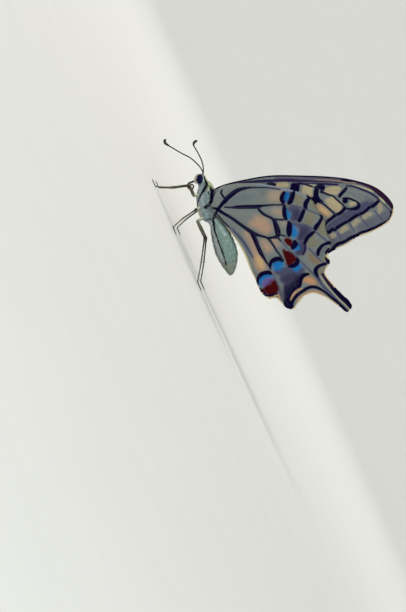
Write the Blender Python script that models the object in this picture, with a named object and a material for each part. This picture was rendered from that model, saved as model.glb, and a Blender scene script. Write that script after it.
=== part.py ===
"""Old World swallowtail (Papilio machaon), life size, standing with its wings closed over its back.

Run with blender --background --python part.py, or from the text editor.
World units are metres and +Z is up. The head points to -X, the left side faces -Y, the feet stand on
z = 0, and the origin is under the middle of the insect's outer box.
Sizes below are in millimetres. Those of the body are (x, z) or (x, y, z) from the body point, which lies
between the wing roots, with y measured outwards from the middle plane.
"""

import bpy
import bmesh
from math import ceil, cos, exp, pi, radians, sin, sqrt
from mathutils import Matrix, Vector
from mathutils.geometry import delaunay_2d_cdt, intersect_point_line

MM = 0.001
GAP = 0.3                       # kept between nodes that meet
SLIVER = 0.0015                 # edges shorter than this are dissolved after a cut
BODY_X = -8.695                 # the body point, from the middle of the outer box
BODY_Z = 9.5                    # the body point, above the floor
LEFT = -1
RIGHT = 1
SIDES = (("left", LEFT), ("right", RIGHT))

# Body stations: x, z and radius, from front to back
HEAD = ((-7.5, 0.6, 0.2), (-7.35, 0.62, 0.5), (-6.95, 0.62, 0.84), (-6.5, 0.6, 1.04),
        (-5.8, 0.54, 1.18), (-5.1, 0.5, 1.25), (-4.4, 0.5, 1.2))
THORAX = ((-5.3, 0.86, 0.35), (-5.15, 0.84, 0.9), (-4.8, 0.78, 1.45), (-4.45, 0.7, 1.83),
          (-4.0, 0.58, 2.15), (-2.9, 0.25, 2.5), (-1.2, -0.12, 2.85), (0.7, -0.57, 3.0),
          (2.1, -1.02, 2.74), (3.0, -1.28, 2.1), (3.4, -1.38, 1.25), (3.5, -1.4, 0.5))
ABDOMEN = ((2.9, -0.42, 1.0), (4.1, -0.42, 1.42), (5.2, -0.45, 1.78), (6.6, -0.52, 2.13),
           (8.6, -0.68, 2.44), (10.8, -0.87, 2.57), (12.6, -1.02, 2.34), (14.2, -1.3, 1.82),
           (15.5, -1.62, 1.15), (16.4, -1.95, 0.56), (16.7, -2.06, 0.2))
HEAD_WIDTH = 1.2                # lateral radius over the upright one
THORAX_WIDTH = 0.8
ABDOMEN_WIDTH = 0.82
THORAX_SIDES = 20
ABDOMEN_SIDES = 18
HEAD_SIDES = 16
RING_STEP = 0.42                # along the body, between rings
SEGMENTS = 8                    # of the abdomen
SEGMENT_GROOVE = 0.05           # depth between two of them, as a share of the radius

# Eyes
EYE_CENTRE = (-6.26, 1.06, 0.32)
EYE_RADII = (1.1, 0.6, 0.7)
EYE_TILT = radians(31)
EYE_FACETS = (16, 9)

# Feelers and mouthparts: paths of (x, y, z), with y outwards
ANTENNA_LEFT = ((-6.5, 0.4, 0.9), (-7.3, 0.5, 1.5), (-8.5, 0.9, 1.52), (-10.0, 1.6, 1.06),
                (-11.5, 2.5, 0.34), (-13.4, 3.7, -1.15), (-15.1, 4.8, -2.36), (-16.2, 5.4, -3.1),
                (-16.8, 5.7, -3.38), (-17.26, 5.9, -3.18), (-17.36, 6.0, -2.85))
ANTENNA_RIGHT = ((-6.5, 0.4, 0.9), (-7.3, 0.5, 1.52), (-8.55, 1.3, 2.04), (-10.0, 2.7, 2.28),
                 (-11.8, 4.4, 2.21), (-13.4, 6.0, 2.02), (-14.4, 7.0, 1.92), (-14.88, 7.5, 2.22),
                 (-15.04, 7.75, 2.7), (-15.0, 7.8, 3.1))
ANTENNA_RADIUS = 0.25
CLUB_RADIUS = 0.36
CLUB_SHARE = 0.8                # of the feeler's length, where the club begins
PALP = ((-5.9, 0.6, -0.2), (-6.05, 0.64, -1.05), (-6.65, 0.66, -0.98), (-7.2, 0.64, -0.68),
        (-7.6, 0.6, -0.25), (-7.8, 0.56, 0.15))
PALP_RADIUS = 0.26
PALP_TIP = 0.18
PROBOSCIS_ROOT = (-6.42, -0.2)
COIL_CENTRE = (-5.65, -2.2)
COIL_RADIUS = 0.85
COIL_END_RADIUS = 0.26
COIL_TURNS = 1.25
PROBOSCIS_RADIUS = 0.25
PROBOSCIS_TIP = 0.13

# Legs: root in the thorax, hip, knee, ankle, sole and toe
LEGS = {
    "leg_fore": ((-3.0, 0.9, -1.0), (-3.4, 1.3, -2.5), (-6.0, 3.3, -2.5), (-7.2, 4.6, -6.4),
                 (-8.6, 5.4, -9.28), (-10.2, 6.0, -9.28)),
    "leg_mid": ((-0.4, 1.0, -1.9), (-0.3, 1.9, -3.4), (-0.2, 5.2, -3.0), (0.5, 6.9, -6.6),
                (1.4, 7.8, -9.28), (3.0, 8.4, -9.28)),
    "leg_hind": ((1.9, 1.0, -2.6), (2.2, 1.8, -4.1), (6.4, 4.3, -4.0), (11.3, 6.3, -6.9),
                 (14.9, 7.2, -9.28), (16.8, 7.6, -9.28)),
}
LEG_RADII = (0.5, 0.46, 0.36, 0.28, 0.25, 0.2)
KNEE_ROUND = 0.35               # length of the bend at each joint
TUBE_SIDES = 8

# Wings: drawn flat, x from the body point towards the tip of the forewing, y towards the costa
WING_TURN = radians(66)         # from the drawing's x to the body's axis
MEMBRANE = 0.5                  # thickness
VEIN_HEIGHT = 0.12              # above each face
VEIN_FOOT = 0.36                # from a vein's crest to its foot
FOREWING_PLANE = 0.55           # from the middle plane to the middle of the membrane
HINDWING_PLANE = FOREWING_PLANE + MEMBRANE + 2 * VEIN_HEIGHT + GAP + 0.03
ROOT_SPLAY = 1.25               # how far the roots spread to the sides of the thorax
ROOT_REACH = 4.6                # over this distance from the body point
RIM_STEP = 1.7
VEIN_STEP = 3.0
WELD = 0.1                      # points of the drawing nearer than this become one

FOREWING_OUTLINE = (
    (0.2, 2.9), (1.3, 3.8), (3.4, 4.7), (8.0, 5.8), (13.7, 6.7), (20.5, 6.7), (27.4, 6.4),
    (31.9, 5.8), (36.5, 4.5), (38.8, 3.2), (41.0, 1.0), (41.8, -0.8), (41.2, -3.2), (39.4, -4.8),
    (36.5, -6.3), (33.1, -7.6), (31.5, -8.8), (28.5, -10.2), (26.9, -11.3), (24.6, -12.9),
    (22.6, -13.7), (21.0, -13.2), (12.0, -7.4), (0.6, -0.4))
HINDWING_OUTLINE = (
    (0.4, -0.6), (0.5, 1.2), (1.1, 2.7), (1.8, 3.6), (2.8, 4.2), (5.7, 4.8), (9.1, 4.9),
    (11.9, 4.8), (14.8, 4.1), (17.3, 3.7), (19.5, 3.1), (21.4, 2.4), (23.1, 1.3), (24.1, -0.1),
    (24.7, -1.4), (25.6, -2.3), (26.3, -3.5), (26.4, -5.0), (26.8, -6.6), (27.7, -8.2),
    (27.3, -9.7), (27.0, -11.4), (27.4, -13.1), (26.7, -14.2), (26.3, -15.4), (27.6, -17.4),
    (30.3, -20.4), (31.9, -21.9), (32.4, -22.9), (32.0, -23.8), (31.2, -24.4), (28.9, -22.8),
    (26.0, -20.9), (23.6, -20.1), (21.5, -20.8), (20.2, -22.3), (19.0, -23.8), (17.5, -23.5),
    (16.3, -22.4), (15.2, -21.3), (13.3, -21.3), (11.7, -20.0), (10.5, -17.5), (9.5, -15.3),
    (8.6, -13.0), (7.5, -10.5), (6.0, -7.8), (4.2, -5.2), (2.6, -3.1), (1.4, -1.7))
FOREWING_VEINS = {
    "subcosta": ((3.0, 3.9), (10.0, 5.3), (16.0, 5.6), (23.0, 5.3)),
    "radius": ((2.4, 3.2), (9.0, 4.5), (17.0, 5.0), (23.0, 4.3), (25.6, 3.4)),
    "radius_2": ((21.0, 4.8), (27.0, 5.0), (33.5, 4.6)),
    "radius_4": ((23.0, 4.3), (31.0, 4.2), (36.0, 2.8), (40.6, -1.0)),
    "radius_5": ((25.6, 3.4), (30.8, 3.2), (34.0, 1.6), (37.3, -1.2), (39.2, -3.9)),
    "cell_end": ((25.6, 3.4), (25.4, 2.4), (25.2, 0.6), (24.3, -1.8)),
    "media_1": ((25.4, 2.4), (28.4, 1.8), (30.8, -0.6), (34.2, -2.4), (35.8, -5.0)),
    "media_2": ((25.2, 0.6), (28.4, -2.1), (31.8, -4.1), (33.3, -6.5)),
    "media_3": ((24.3, -1.8), (26.4, -3.6), (29.0, -5.9), (30.1, -8.0)),
    "cubitus": ((2.2, 1.6), (9.0, 0.6), (16.5, -1.3), (22.0, -2.5), (24.3, -1.8)),
    "cubitus_1": ((22.0, -2.5), (25.4, -5.8), (28.0, -9.5)),
    "cubitus_2": ((16.5, -1.3), (22.0, -7.0), (26.0, -11.4)),
    "anal": ((2.0, -0.1), (10.0, -4.6), (17.5, -9.4), (23.6, -12.7)),
}
HINDWING_VEINS = {
    "subcosta": ((3.3, 1.2), (4.6, 2.3), (6.2, 3.3), (8.0, 3.85), (10.5, 3.95), (15.5, 3.65)),
    "radius": ((4.1, -0.55), (11.0, -0.5), (16.5, 0.0), (21.0, -0.6), (25.1, -2.3)),
    "cell_end": ((11.0, -0.5), (12.1, -2.0), (14.3, -3.1), (15.4, -5.2), (15.3, -7.2)),
    "media_1": ((14.3, -3.1), (20.5, -4.2), (23.3, -5.4), (27.0, -8.2)),
    "media_2": ((15.5, -6.4), (20.7, -8.6), (24.0, -11.4), (26.8, -13.3)),
    "media_3": ((15.3, -7.2), (17.4, -9.5), (20.6, -12.7), (24.9, -17.3), (27.6, -20.2),
                (31.4, -23.8)),
    "cubitus": ((4.1, -2.5), (6.5, -4.1), (10.1, -6.5), (13.4, -7.6), (15.3, -7.2)),
    "cubitus_1": ((13.4, -7.6), (15.9, -11.3), (18.2, -15.6), (20.6, -20.8)),
    "cubitus_2": ((10.1, -6.5), (11.4, -10.5), (14.0, -15.0), (16.4, -20.0), (17.9, -23.0)),
    "anal": ((3.8, -4.6), (7.5, -9.4), (9.7, -13.4), (11.7, -17.6), (13.0, -20.5)),
}

# Colours: red, green, blue and roughness
HAIR_GREEN = (0.33, 0.39, 0.22, 0.8)
TEAL_GREY = (0.25, 0.36, 0.33, 0.75)
WING_CREAM = (0.36, 0.36, 0.24, 0.65)
HORN_BLACK = (0.02, 0.018, 0.025, 0.4)
EYE_NAVY = (0.008, 0.006, 0.05, 0.15)
LEG_STRAW = (0.2, 0.19, 0.11, 0.6)


def clear_scene():
    for item in list(bpy.data.objects):
        bpy.data.objects.remove(item, do_unlink=True)


def collection(name):
    made = bpy.data.collections.new(name)
    bpy.context.scene.collection.children.link(made)
    return made


def material(name, colour):
    made = bpy.data.materials.new(name)
    made.use_nodes = True
    shader = made.node_tree.nodes["Principled BSDF"]
    shader.inputs["Base Color"].default_value = (*colour[:3], 1.0)
    shader.inputs["Roughness"].default_value = colour[3]
    shader.inputs["Metallic"].default_value = 0.0
    return made


def world(x, y, z):
    """The world place of a point given in millimetres from the body point."""
    return Vector((BODY_X + x, y, BODY_Z + z)) * MM


def between(a, b, start, end, value):
    """The straight run from a at start to b at end, read at value."""
    return a * ((end - value) / (end - start)) + b * ((value - start) / (end - start))


def smooth_span(p0, p1, p2, p3, count):
    """Points of a centripetal Catmull-Rom curve from p1 up to, but without, p2."""
    t1 = sqrt((p1 - p0).length)
    t2 = t1 + sqrt((p2 - p1).length)
    t3 = t2 + sqrt((p3 - p2).length)
    points = []
    for index in range(count):
        t = t1 + (t2 - t1) * index / count
        a1 = between(p0, p1, 0.0, t1, t)
        a2 = between(p1, p2, t1, t2, t)
        a3 = between(p2, p3, t2, t3, t)
        b1 = between(a1, a2, 0.0, t2, t)
        b2 = between(a2, a3, t1, t3, t)
        points.append(between(b1, b2, t1, t2, t))
    return points


def smooth_line(controls, step, closed=False):
    """A smooth line through the control points, with a point about every step."""
    controls = [Vector(point) for point in controls]
    if closed:
        controls = [controls[-1]] + controls + controls[:2]
    else:
        controls = [2 * controls[0] - controls[1]] + controls + [2 * controls[-1] - controls[-2]]
    line = []
    for index in range(1, len(controls) - 2):
        span = controls[index - 1:index + 3]
        count = max(1, ceil((span[2] - span[1]).length / step))
        line += smooth_span(*span, count)
    if not closed:
        line.append(controls[-2])
    return line


def add_object(name, mesh, group):
    made = bpy.data.objects.new(name, mesh)
    group.objects.link(made)
    return made


def tube(name, path, radii, sides, group, width=1.0):
    """A closed tube along a world path, its radii in millimetres and its breadth in Y times width."""
    curve = bpy.data.curves.new(name, "CURVE")
    curve.dimensions = "3D"
    curve.bevel_depth = MM
    curve.bevel_resolution = (sides - 4) // 2
    curve.use_fill_caps = True
    spline = curve.splines.new("POLY")
    spline.points.add(len(path) - 1)
    for point, place, radius in zip(spline.points, path, radii):
        point.co = (*place, 1.0)
        point.radius = radius
    guide = add_object(name + "_guide", curve, group)
    bpy.context.view_layer.update()
    graph = bpy.context.evaluated_depsgraph_get()
    mesh = bpy.data.meshes.new_from_object(guide.evaluated_get(graph))
    bpy.data.objects.remove(guide, do_unlink=True)
    shell = bmesh.new()
    shell.from_mesh(mesh)
    bmesh.ops.remove_doubles(shell, verts=shell.verts, dist=0.00001)
    bmesh.ops.scale(shell, vec=(1.0, width, 1.0), verts=shell.verts)
    bmesh.ops.triangulate(shell, faces=shell.faces)
    bmesh.ops.recalc_face_normals(shell, faces=shell.faces)
    shell.to_mesh(mesh)
    shell.free()
    mesh.name = name
    return add_object(name, mesh, group)


def body_form(name, stations, width, sides, group, grow=0.0, segments=0):
    """A tube in the middle plane through body stations, grooved between its segments if it has any."""
    line = smooth_line(stations, RING_STEP if segments else 2 * RING_STEP)
    path = []
    radii = []
    for index, (x, z, radius) in enumerate(line):
        share = index / (len(line) - 1)
        groove = SEGMENT_GROOVE * abs(cos(pi * segments * share)) ** 6 if segments else 0.0
        path.append(world(x, 0.0, z))
        radii.append(radius * (1.0 - groove) + grow)
    return tube(name, path, radii, sides, group, width)


def eye_form(name, side, group, grow=0.0):
    mesh = bpy.data.meshes.new(name)
    shell = bmesh.new()
    bmesh.ops.create_uvsphere(shell, u_segments=EYE_FACETS[0], v_segments=EYE_FACETS[1], radius=MM)
    x, y, z = EYE_CENTRE
    grown = [radius + grow for radius in EYE_RADII]
    bmesh.ops.scale(shell, vec=grown, verts=shell.verts)
    turned = Matrix.Rotation(EYE_TILT, 4, "Y")
    bmesh.ops.transform(shell, matrix=Matrix.Translation(world(x, side * y, z)) @ turned, verts=shell.verts)
    bmesh.ops.triangulate(shell, faces=shell.faces)
    shell.to_mesh(mesh)
    shell.free()
    return add_object(name, mesh, group)


def limb_path(controls, side, step):
    return [world(x, side * y, z) for x, y, z in smooth_line(controls, step)]


def antenna(name, controls, side, group):
    """A thin feeler that swells into a club over its last part."""
    path = limb_path(controls, side, 0.8)
    radii = []
    for index in range(len(path)):
        share = index / (len(path) - 1)
        swell = max(0.0, (share - CLUB_SHARE) / (1.0 - CLUB_SHARE))
        radii.append(ANTENNA_RADIUS + (CLUB_RADIUS - ANTENNA_RADIUS) * sin(0.5 * pi * swell))
    radii[-1] *= 0.7
    return tube(name, path, radii, TUBE_SIDES, group)


def palp(name, side, group):
    path = limb_path(PALP, side, 0.4)
    radii = [between(PALP_RADIUS, PALP_TIP, 0, len(path) - 1, index) for index in range(len(path))]
    return tube(name, path, radii, TUBE_SIDES, group)


def proboscis(name, group):
    """The coiled tongue: from the mouth down to its coil, then inwards round it."""
    count = 22
    path = [world(PROBOSCIS_ROOT[0], 0.0, PROBOSCIS_ROOT[1])]
    for index in range(count):
        share = index / (count - 1)
        angle = pi + 2 * pi * COIL_TURNS * share
        reach = between(COIL_RADIUS, COIL_END_RADIUS, 0.0, 1.0, share)
        path.append(world(COIL_CENTRE[0] + reach * cos(angle), 0.0, COIL_CENTRE[1] + reach * sin(angle)))
    last = len(path) - 1
    radii = [between(PROBOSCIS_RADIUS, PROBOSCIS_TIP, 0, last, index) for index in range(last + 1)]
    return tube(name, path, radii, TUBE_SIDES, group)


def leg(name, joints, side, group):
    """A leg from its joints, each but the first and last rounded by a short bend."""
    places = [Vector((x, side * y, z)) for x, y, z in joints]
    path = [places[0]]
    radii = [LEG_RADII[0]]
    for index in range(1, len(places) - 1):
        here = places[index]
        for other in (places[index - 1], places[index + 1]):
            path.append(here + (other - here).normalized() * KNEE_ROUND)
            radii.append(LEG_RADII[index])
            if other is places[index - 1]:
                inwards = (places[index - 1] - here).normalized() + (places[index + 1] - here).normalized()
                path.append(here + inwards * KNEE_ROUND * 0.25)
                radii.append(LEG_RADII[index] * 1.08)
    path.append(places[-1])
    radii.append(LEG_RADII[-1])
    return tube(name, [world(*place) for place in path], radii, TUBE_SIDES, group)


def distance_to_line(point, line):
    nearest = 1e9
    for start, end in zip(line, line[1:]):
        foot, share = intersect_point_line(point, start, end)
        share = min(1.0, max(0.0, share))
        nearest = min(nearest, (point - start.lerp(end, share)).length)
    return nearest


def beside(line, offset):
    """The line moved sideways by offset in its own plane."""
    moved = []
    for index, point in enumerate(line):
        ahead = line[min(index + 1, len(line) - 1)]
        behind = line[max(index - 1, 0)]
        along = (ahead - behind).normalized()
        moved.append(point + Vector((-along.y, along.x)) * offset)
    return moved


def wing_plan(outline, veins):
    """The flat wing cut into triangles along its rim, its vein crests and their feet."""
    rim = smooth_line(outline, RIM_STEP, closed=True)
    crests = [smooth_line(vein, VEIN_STEP) for vein in veins.values()]
    points = list(rim)
    edges = []
    for crest in crests:
        for offset in (-VEIN_FOOT, 0.0, VEIN_FOOT):
            start = len(points)
            points += beside(crest, offset)
            edges += [(index, index + 1) for index in range(start, len(points) - 1)]
    places, _, faces, _, _, _ = delaunay_2d_cdt(points, edges, [list(range(len(rim)))], 1, WELD)
    heights = []
    for place in places:
        away = min(distance_to_line(place, crest) for crest in crests)
        heights.append(VEIN_HEIGHT * max(0.0, 1.0 - away / VEIN_FOOT))
    return places, faces, heights


def wing(name, plan, plane, side, group):
    """A membrane with raised veins, split into triangles alike on both faces."""
    places, faces, heights = plan
    shell = bmesh.new()
    skins = []
    for face in (1, -1):
        skin = []
        for place, height in zip(places, heights):
            splay = ROOT_SPLAY * exp(-(place.length / ROOT_REACH) ** 2)
            out = plane + splay + face * (0.5 * MEMBRANE + height)
            x = place.x * cos(WING_TURN) - place.y * sin(WING_TURN)
            z = place.x * sin(WING_TURN) + place.y * cos(WING_TURN)
            skin.append(shell.verts.new(world(x, side * out, z)))
        skins.append(skin)
    outer, inner = skins
    for a, b, c in faces:
        shell.faces.new((outer[a], outer[b], outer[c]))
    rim = [edge for edge in shell.edges if edge.is_boundary]
    partner = dict(zip(outer, inner))
    for edge in rim:
        a, b = edge.verts
        shell.faces.new((a, b, partner[b]))
        shell.faces.new((a, partner[b], partner[a]))
    for a, b, c in faces:
        shell.faces.new((inner[c], inner[b], inner[a]))
    bmesh.ops.delete(shell, geom=[vert for vert in shell.verts if not vert.link_faces], context="VERTS")
    bmesh.ops.recalc_face_normals(shell, faces=shell.faces)
    mesh = bpy.data.meshes.new(name)
    shell.to_mesh(mesh)
    shell.free()
    return add_object(name, mesh, group)


def largest_body(mesh):
    """Deletes all but the piece of the mesh that has the most points, and the slivers left by a cut."""
    shell = bmesh.new()
    shell.from_mesh(mesh)
    waiting = set(shell.verts)
    pieces = []
    while waiting:
        edge_of_piece = [waiting.pop()]
        piece = set(edge_of_piece)
        while edge_of_piece:
            vert = edge_of_piece.pop()
            for edge in vert.link_edges:
                other = edge.other_vert(vert)
                if other in waiting:
                    waiting.discard(other)
                    piece.add(other)
                    edge_of_piece.append(other)
        pieces.append(piece)
    pieces.sort(key=len)
    scraps = [vert for piece in pieces[:-1] for vert in piece]
    bmesh.ops.delete(shell, geom=scraps, context="VERTS")
    bmesh.ops.dissolve_degenerate(shell, dist=SLIVER * MM, edges=shell.edges)
    bmesh.ops.triangulate(shell, faces=shell.faces)
    shell.to_mesh(mesh)
    shell.free()


def cut(target, cutters):
    """Takes the cutters away from the target and keeps its largest closed surface."""
    for cutter in cutters:
        difference = target.modifiers.new("clearance", "BOOLEAN")
        difference.operation = "DIFFERENCE"
        difference.solver = "EXACT"
        difference.object = cutter
    bpy.context.view_layer.update()
    graph = bpy.context.evaluated_depsgraph_get()
    mesh = bpy.data.meshes.new_from_object(target.evaluated_get(graph))
    target.modifiers.clear()
    target.data = mesh
    largest_body(mesh)


def floor_block(group):
    mesh = bpy.data.meshes.new("floor_block")
    shell = bmesh.new()
    bmesh.ops.create_cube(shell, size=0.08)
    bmesh.ops.translate(shell, vec=(0.0, 0.0, -0.04), verts=shell.verts)
    shell.to_mesh(mesh)
    shell.free()
    return add_object("floor_block", mesh, group)


def finish(node, colour, smooth_angle=radians(40)):
    node.data.materials.clear()
    node.data.materials.append(material(node.name + "_finish", colour))
    node.data.shade_smooth()
    node.data.set_sharp_from_angle(angle=smooth_angle)


def main():
    clear_scene()
    insect = collection("old_world_swallowtail")
    cutters = collection("cutters")

    thorax_room = body_form("thorax_room", THORAX, THORAX_WIDTH, THORAX_SIDES, cutters, GAP)
    head_room = body_form("head_room", HEAD, HEAD_WIDTH, HEAD_SIDES, cutters, GAP)
    abdomen_room = body_form("abdomen_room", ABDOMEN, ABDOMEN_WIDTH, ABDOMEN_SIDES, cutters, GAP)
    eye_rooms = [eye_form("eye_room_" + word, side, cutters, GAP) for word, side in SIDES]
    floor = floor_block(cutters)

    thorax = body_form("thorax", THORAX, THORAX_WIDTH, THORAX_SIDES, insect)
    finish(thorax, HAIR_GREEN)
    abdomen = body_form("abdomen", ABDOMEN, ABDOMEN_WIDTH, ABDOMEN_SIDES, insect, segments=SEGMENTS)
    cut(abdomen, [thorax_room])
    finish(abdomen, TEAL_GREY)
    head = body_form("head", HEAD, HEAD_WIDTH, HEAD_SIDES, insect)
    cut(head, [thorax_room] + eye_rooms)
    finish(head, HAIR_GREEN)

    tongue = proboscis("proboscis", insect)
    cut(tongue, [head_room])
    finish(tongue, HORN_BLACK)
    feelers = {"left": ANTENNA_LEFT, "right": ANTENNA_RIGHT}
    forewing_plan = wing_plan(FOREWING_OUTLINE, FOREWING_VEINS)
    hindwing_plan = wing_plan(HINDWING_OUTLINE, HINDWING_VEINS)
    for word, side in SIDES:
        eye = eye_form("eye_" + word, side, insect)
        finish(eye, EYE_NAVY)
        feeler = antenna("antenna_" + word, feelers[word], side, insect)
        cut(feeler, [head_room])
        finish(feeler, HORN_BLACK)
        mouth_palp = palp("palp_" + word, side, insect)
        cut(mouth_palp, [head_room] + eye_rooms)
        finish(mouth_palp, HAIR_GREEN)
        for name, joints in LEGS.items():
            limb = leg(name + "_" + word, joints, side, insect)
            cut(limb, [thorax_room, floor])
            finish(limb, LEG_STRAW)
        forewing = wing("forewing_" + word, forewing_plan, FOREWING_PLANE, side, insect)
        cut(forewing, [thorax_room])
        finish(forewing, WING_CREAM)
        hindwing = wing("hindwing_" + word, hindwing_plan, HINDWING_PLANE, side, insect)
        cut(hindwing, [thorax_room, abdomen_room])
        finish(hindwing, WING_CREAM)

    for cutter in cutters.objects:
        cutter.hide_render = True
        cutter.display_type = "WIRE"


main()
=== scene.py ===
"""Looks of the Old World swallowtail: its scaled wings, hair, eyes, feelers, legs and the plain studio.

Places are given in millimetres. Those of the wings are (x, y) on the flat wing, with x towards the
forewing's tip and y towards its front edge, and most carry a third number, the half width of a mark.
Those of the body are (x, z) or (x, y, z) from the body point between the wing roots, y outwards.
"""

from collections import namedtuple
from math import ceil, cos, pi, radians, sin

import bpy
import numpy as np
from bpy.props import FloatProperty, FloatVectorProperty, IntProperty, PointerProperty
from bpy.types import Operator, Panel, PropertyGroup
from mathutils import Matrix, Vector
from mathutils.geometry import delaunay_2d_cdt

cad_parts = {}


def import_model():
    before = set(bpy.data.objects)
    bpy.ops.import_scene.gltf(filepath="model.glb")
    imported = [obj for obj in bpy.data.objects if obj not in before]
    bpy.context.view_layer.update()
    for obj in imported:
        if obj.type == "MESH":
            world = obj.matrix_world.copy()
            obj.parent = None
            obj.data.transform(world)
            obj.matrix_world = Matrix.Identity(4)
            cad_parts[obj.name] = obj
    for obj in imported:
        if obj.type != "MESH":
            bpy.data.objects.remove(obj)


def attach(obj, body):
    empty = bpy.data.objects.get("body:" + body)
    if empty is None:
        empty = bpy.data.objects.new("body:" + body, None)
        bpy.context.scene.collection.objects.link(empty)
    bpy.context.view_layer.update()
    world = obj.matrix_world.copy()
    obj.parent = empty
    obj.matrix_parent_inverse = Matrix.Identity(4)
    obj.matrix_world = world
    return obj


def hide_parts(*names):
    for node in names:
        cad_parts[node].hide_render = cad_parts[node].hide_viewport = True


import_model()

bl_info = {
    "name": "Old World swallowtail",
    "version": (1, 0, 0),
    "blender": (4, 5, 0),
    "location": "3D View > Sidebar > Swallowtail",
    "description": "Dresses the solids of a swallowtail with scales, hair, eyes, feelers and legs",
    "category": "Object",
}

MM = 0.001
SIDES = (("left", -1), ("right", 1))

# World place of the body point, and the turn of the flat wing and the photo's frame from the body
BODY_X = -8.695
BODY_Z = 9.5
WING_TURN = radians(66)

# How far the wings stand off the body's middle plane, as their solids do, and how they splay at the root
FOREWING_PLANE = 0.62
HINDWING_PLANE = 1.5
ROOT_SPLAY = 1.25
ROOT_REACH = 4.6

FOREWING_OUTLINE = (
    (0.2, 2.9), (1.3, 3.8), (3.4, 4.7), (8.0, 5.8), (13.7, 6.7), (20.5, 6.7), (27.4, 6.4),
    (31.9, 5.8), (36.5, 4.5), (38.8, 3.2), (41.0, 1.0), (41.8, -0.8), (41.2, -3.2), (39.4, -4.8),
    (36.5, -6.3), (33.1, -7.6), (31.5, -8.8), (28.5, -10.2), (26.9, -11.3), (24.6, -12.9),
    (22.6, -13.7), (21.0, -13.2), (12.0, -7.4), (0.6, -0.4))
FOREWING_FRINGE = ((41.8, -0.8), (22.6, -13.7))
HINDWING_OUTLINE = (
    (0.4, -0.6), (0.5, 1.2), (1.1, 2.7), (1.8, 3.6), (2.8, 4.2), (5.7, 4.8), (9.1, 4.9),
    (11.9, 4.8), (14.8, 4.1), (17.3, 3.7), (19.5, 3.1), (21.4, 2.4), (23.1, 1.3), (24.1, -0.1),
    (24.7, -1.4), (25.6, -2.3), (26.3, -3.5), (26.4, -5.0), (26.8, -6.6), (27.7, -8.2),
    (27.3, -9.7), (27.0, -11.4), (27.4, -13.1), (26.7, -14.2), (26.3, -15.4), (27.6, -17.4),
    (30.3, -20.4), (31.9, -21.9), (32.4, -22.9), (32.0, -23.8), (31.2, -24.4), (28.9, -22.8),
    (26.0, -20.9), (23.6, -20.1), (21.5, -20.8), (20.2, -22.3), (19.0, -23.8), (17.5, -23.5),
    (16.3, -22.4), (15.2, -21.3), (13.3, -21.3), (11.7, -20.0), (10.5, -17.5), (9.5, -15.3),
    (8.6, -13.0), (7.5, -10.5), (5.9, -7.85), (3.95, -5.35), (2.3, -3.25), (1.1, -1.9))
HINDWING_FRINGE = ((23.1, 1.3), (9.5, -15.3))

FOREWING_VEINS = {
    "subcosta": ((3.0, 3.9), (10.0, 5.3), (16.0, 5.6), (23.0, 5.3)),
    "radius": ((2.4, 3.2), (9.0, 4.5), (17.0, 5.0), (23.0, 4.3), (25.6, 3.4)),
    "radius_2": ((21.0, 4.8), (27.0, 5.0), (33.5, 4.6)),
    "radius_4": ((23.0, 4.3), (31.0, 4.2), (36.0, 2.8), (40.6, -1.0)),
    "radius_5": ((25.6, 3.4), (30.8, 3.2), (34.0, 1.6), (37.3, -1.2), (39.2, -3.9)),
    "cell_end": ((25.6, 3.4), (25.4, 2.4), (25.2, 0.6), (24.3, -1.8)),
    "media_1": ((25.4, 2.4), (28.4, 1.8), (30.8, -0.6), (34.2, -2.4), (35.8, -5.0)),
    "media_2": ((25.2, 0.6), (28.4, -2.1), (31.8, -4.1), (33.3, -6.5)),
    "media_3": ((24.3, -1.8), (26.4, -3.6), (29.0, -5.9), (30.1, -8.0)),
    "cubitus": ((2.2, 1.6), (9.0, 0.6), (16.5, -1.3), (22.0, -2.5), (24.3, -1.8)),
    "cubitus_1": ((22.0, -2.5), (25.4, -5.8), (28.0, -9.5)),
    "cubitus_2": ((16.5, -1.3), (22.0, -7.0), (26.0, -11.4)),
    "anal": ((2.0, -0.1), (10.0, -4.6), (17.5, -9.4), (23.6, -12.7)),
}
HINDWING_VEINS = {
    "subcosta": ((3.3, 1.2), (4.6, 2.3), (6.2, 3.3), (8.0, 3.85), (10.5, 3.95), (15.5, 3.65)),
    "radius": ((4.1, -0.55), (11.0, -0.5), (16.5, 0.0), (21.0, -0.6), (25.1, -2.3)),
    "cell_end": ((11.0, -0.5), (12.1, -2.0), (14.3, -3.1), (15.4, -5.2), (15.3, -7.2)),
    "media_1": ((14.3, -3.1), (20.5, -4.2), (23.3, -5.4), (27.0, -8.2)),
    "media_2": ((15.5, -6.4), (20.7, -8.6), (24.0, -11.4), (26.8, -13.3)),
    "media_3": ((15.3, -7.2), (17.4, -9.5), (20.6, -12.7), (24.9, -17.3), (27.6, -20.2), (31.4, -23.8)),
    "cubitus": ((4.1, -2.5), (6.5, -4.1), (10.1, -6.5), (13.4, -7.6), (15.3, -7.2)),
    "cubitus_1": ((13.4, -7.6), (15.9, -11.3), (18.2, -15.6), (20.6, -20.8)),
    "cubitus_2": ((10.1, -6.5), (11.4, -10.5), (14.0, -15.0), (16.4, -20.0), (17.9, -23.0)),
    "anal": ((3.8, -4.6), (7.5, -9.4), (9.7, -13.4), (11.7, -17.6), (13.0, -20.5)),
}

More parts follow.
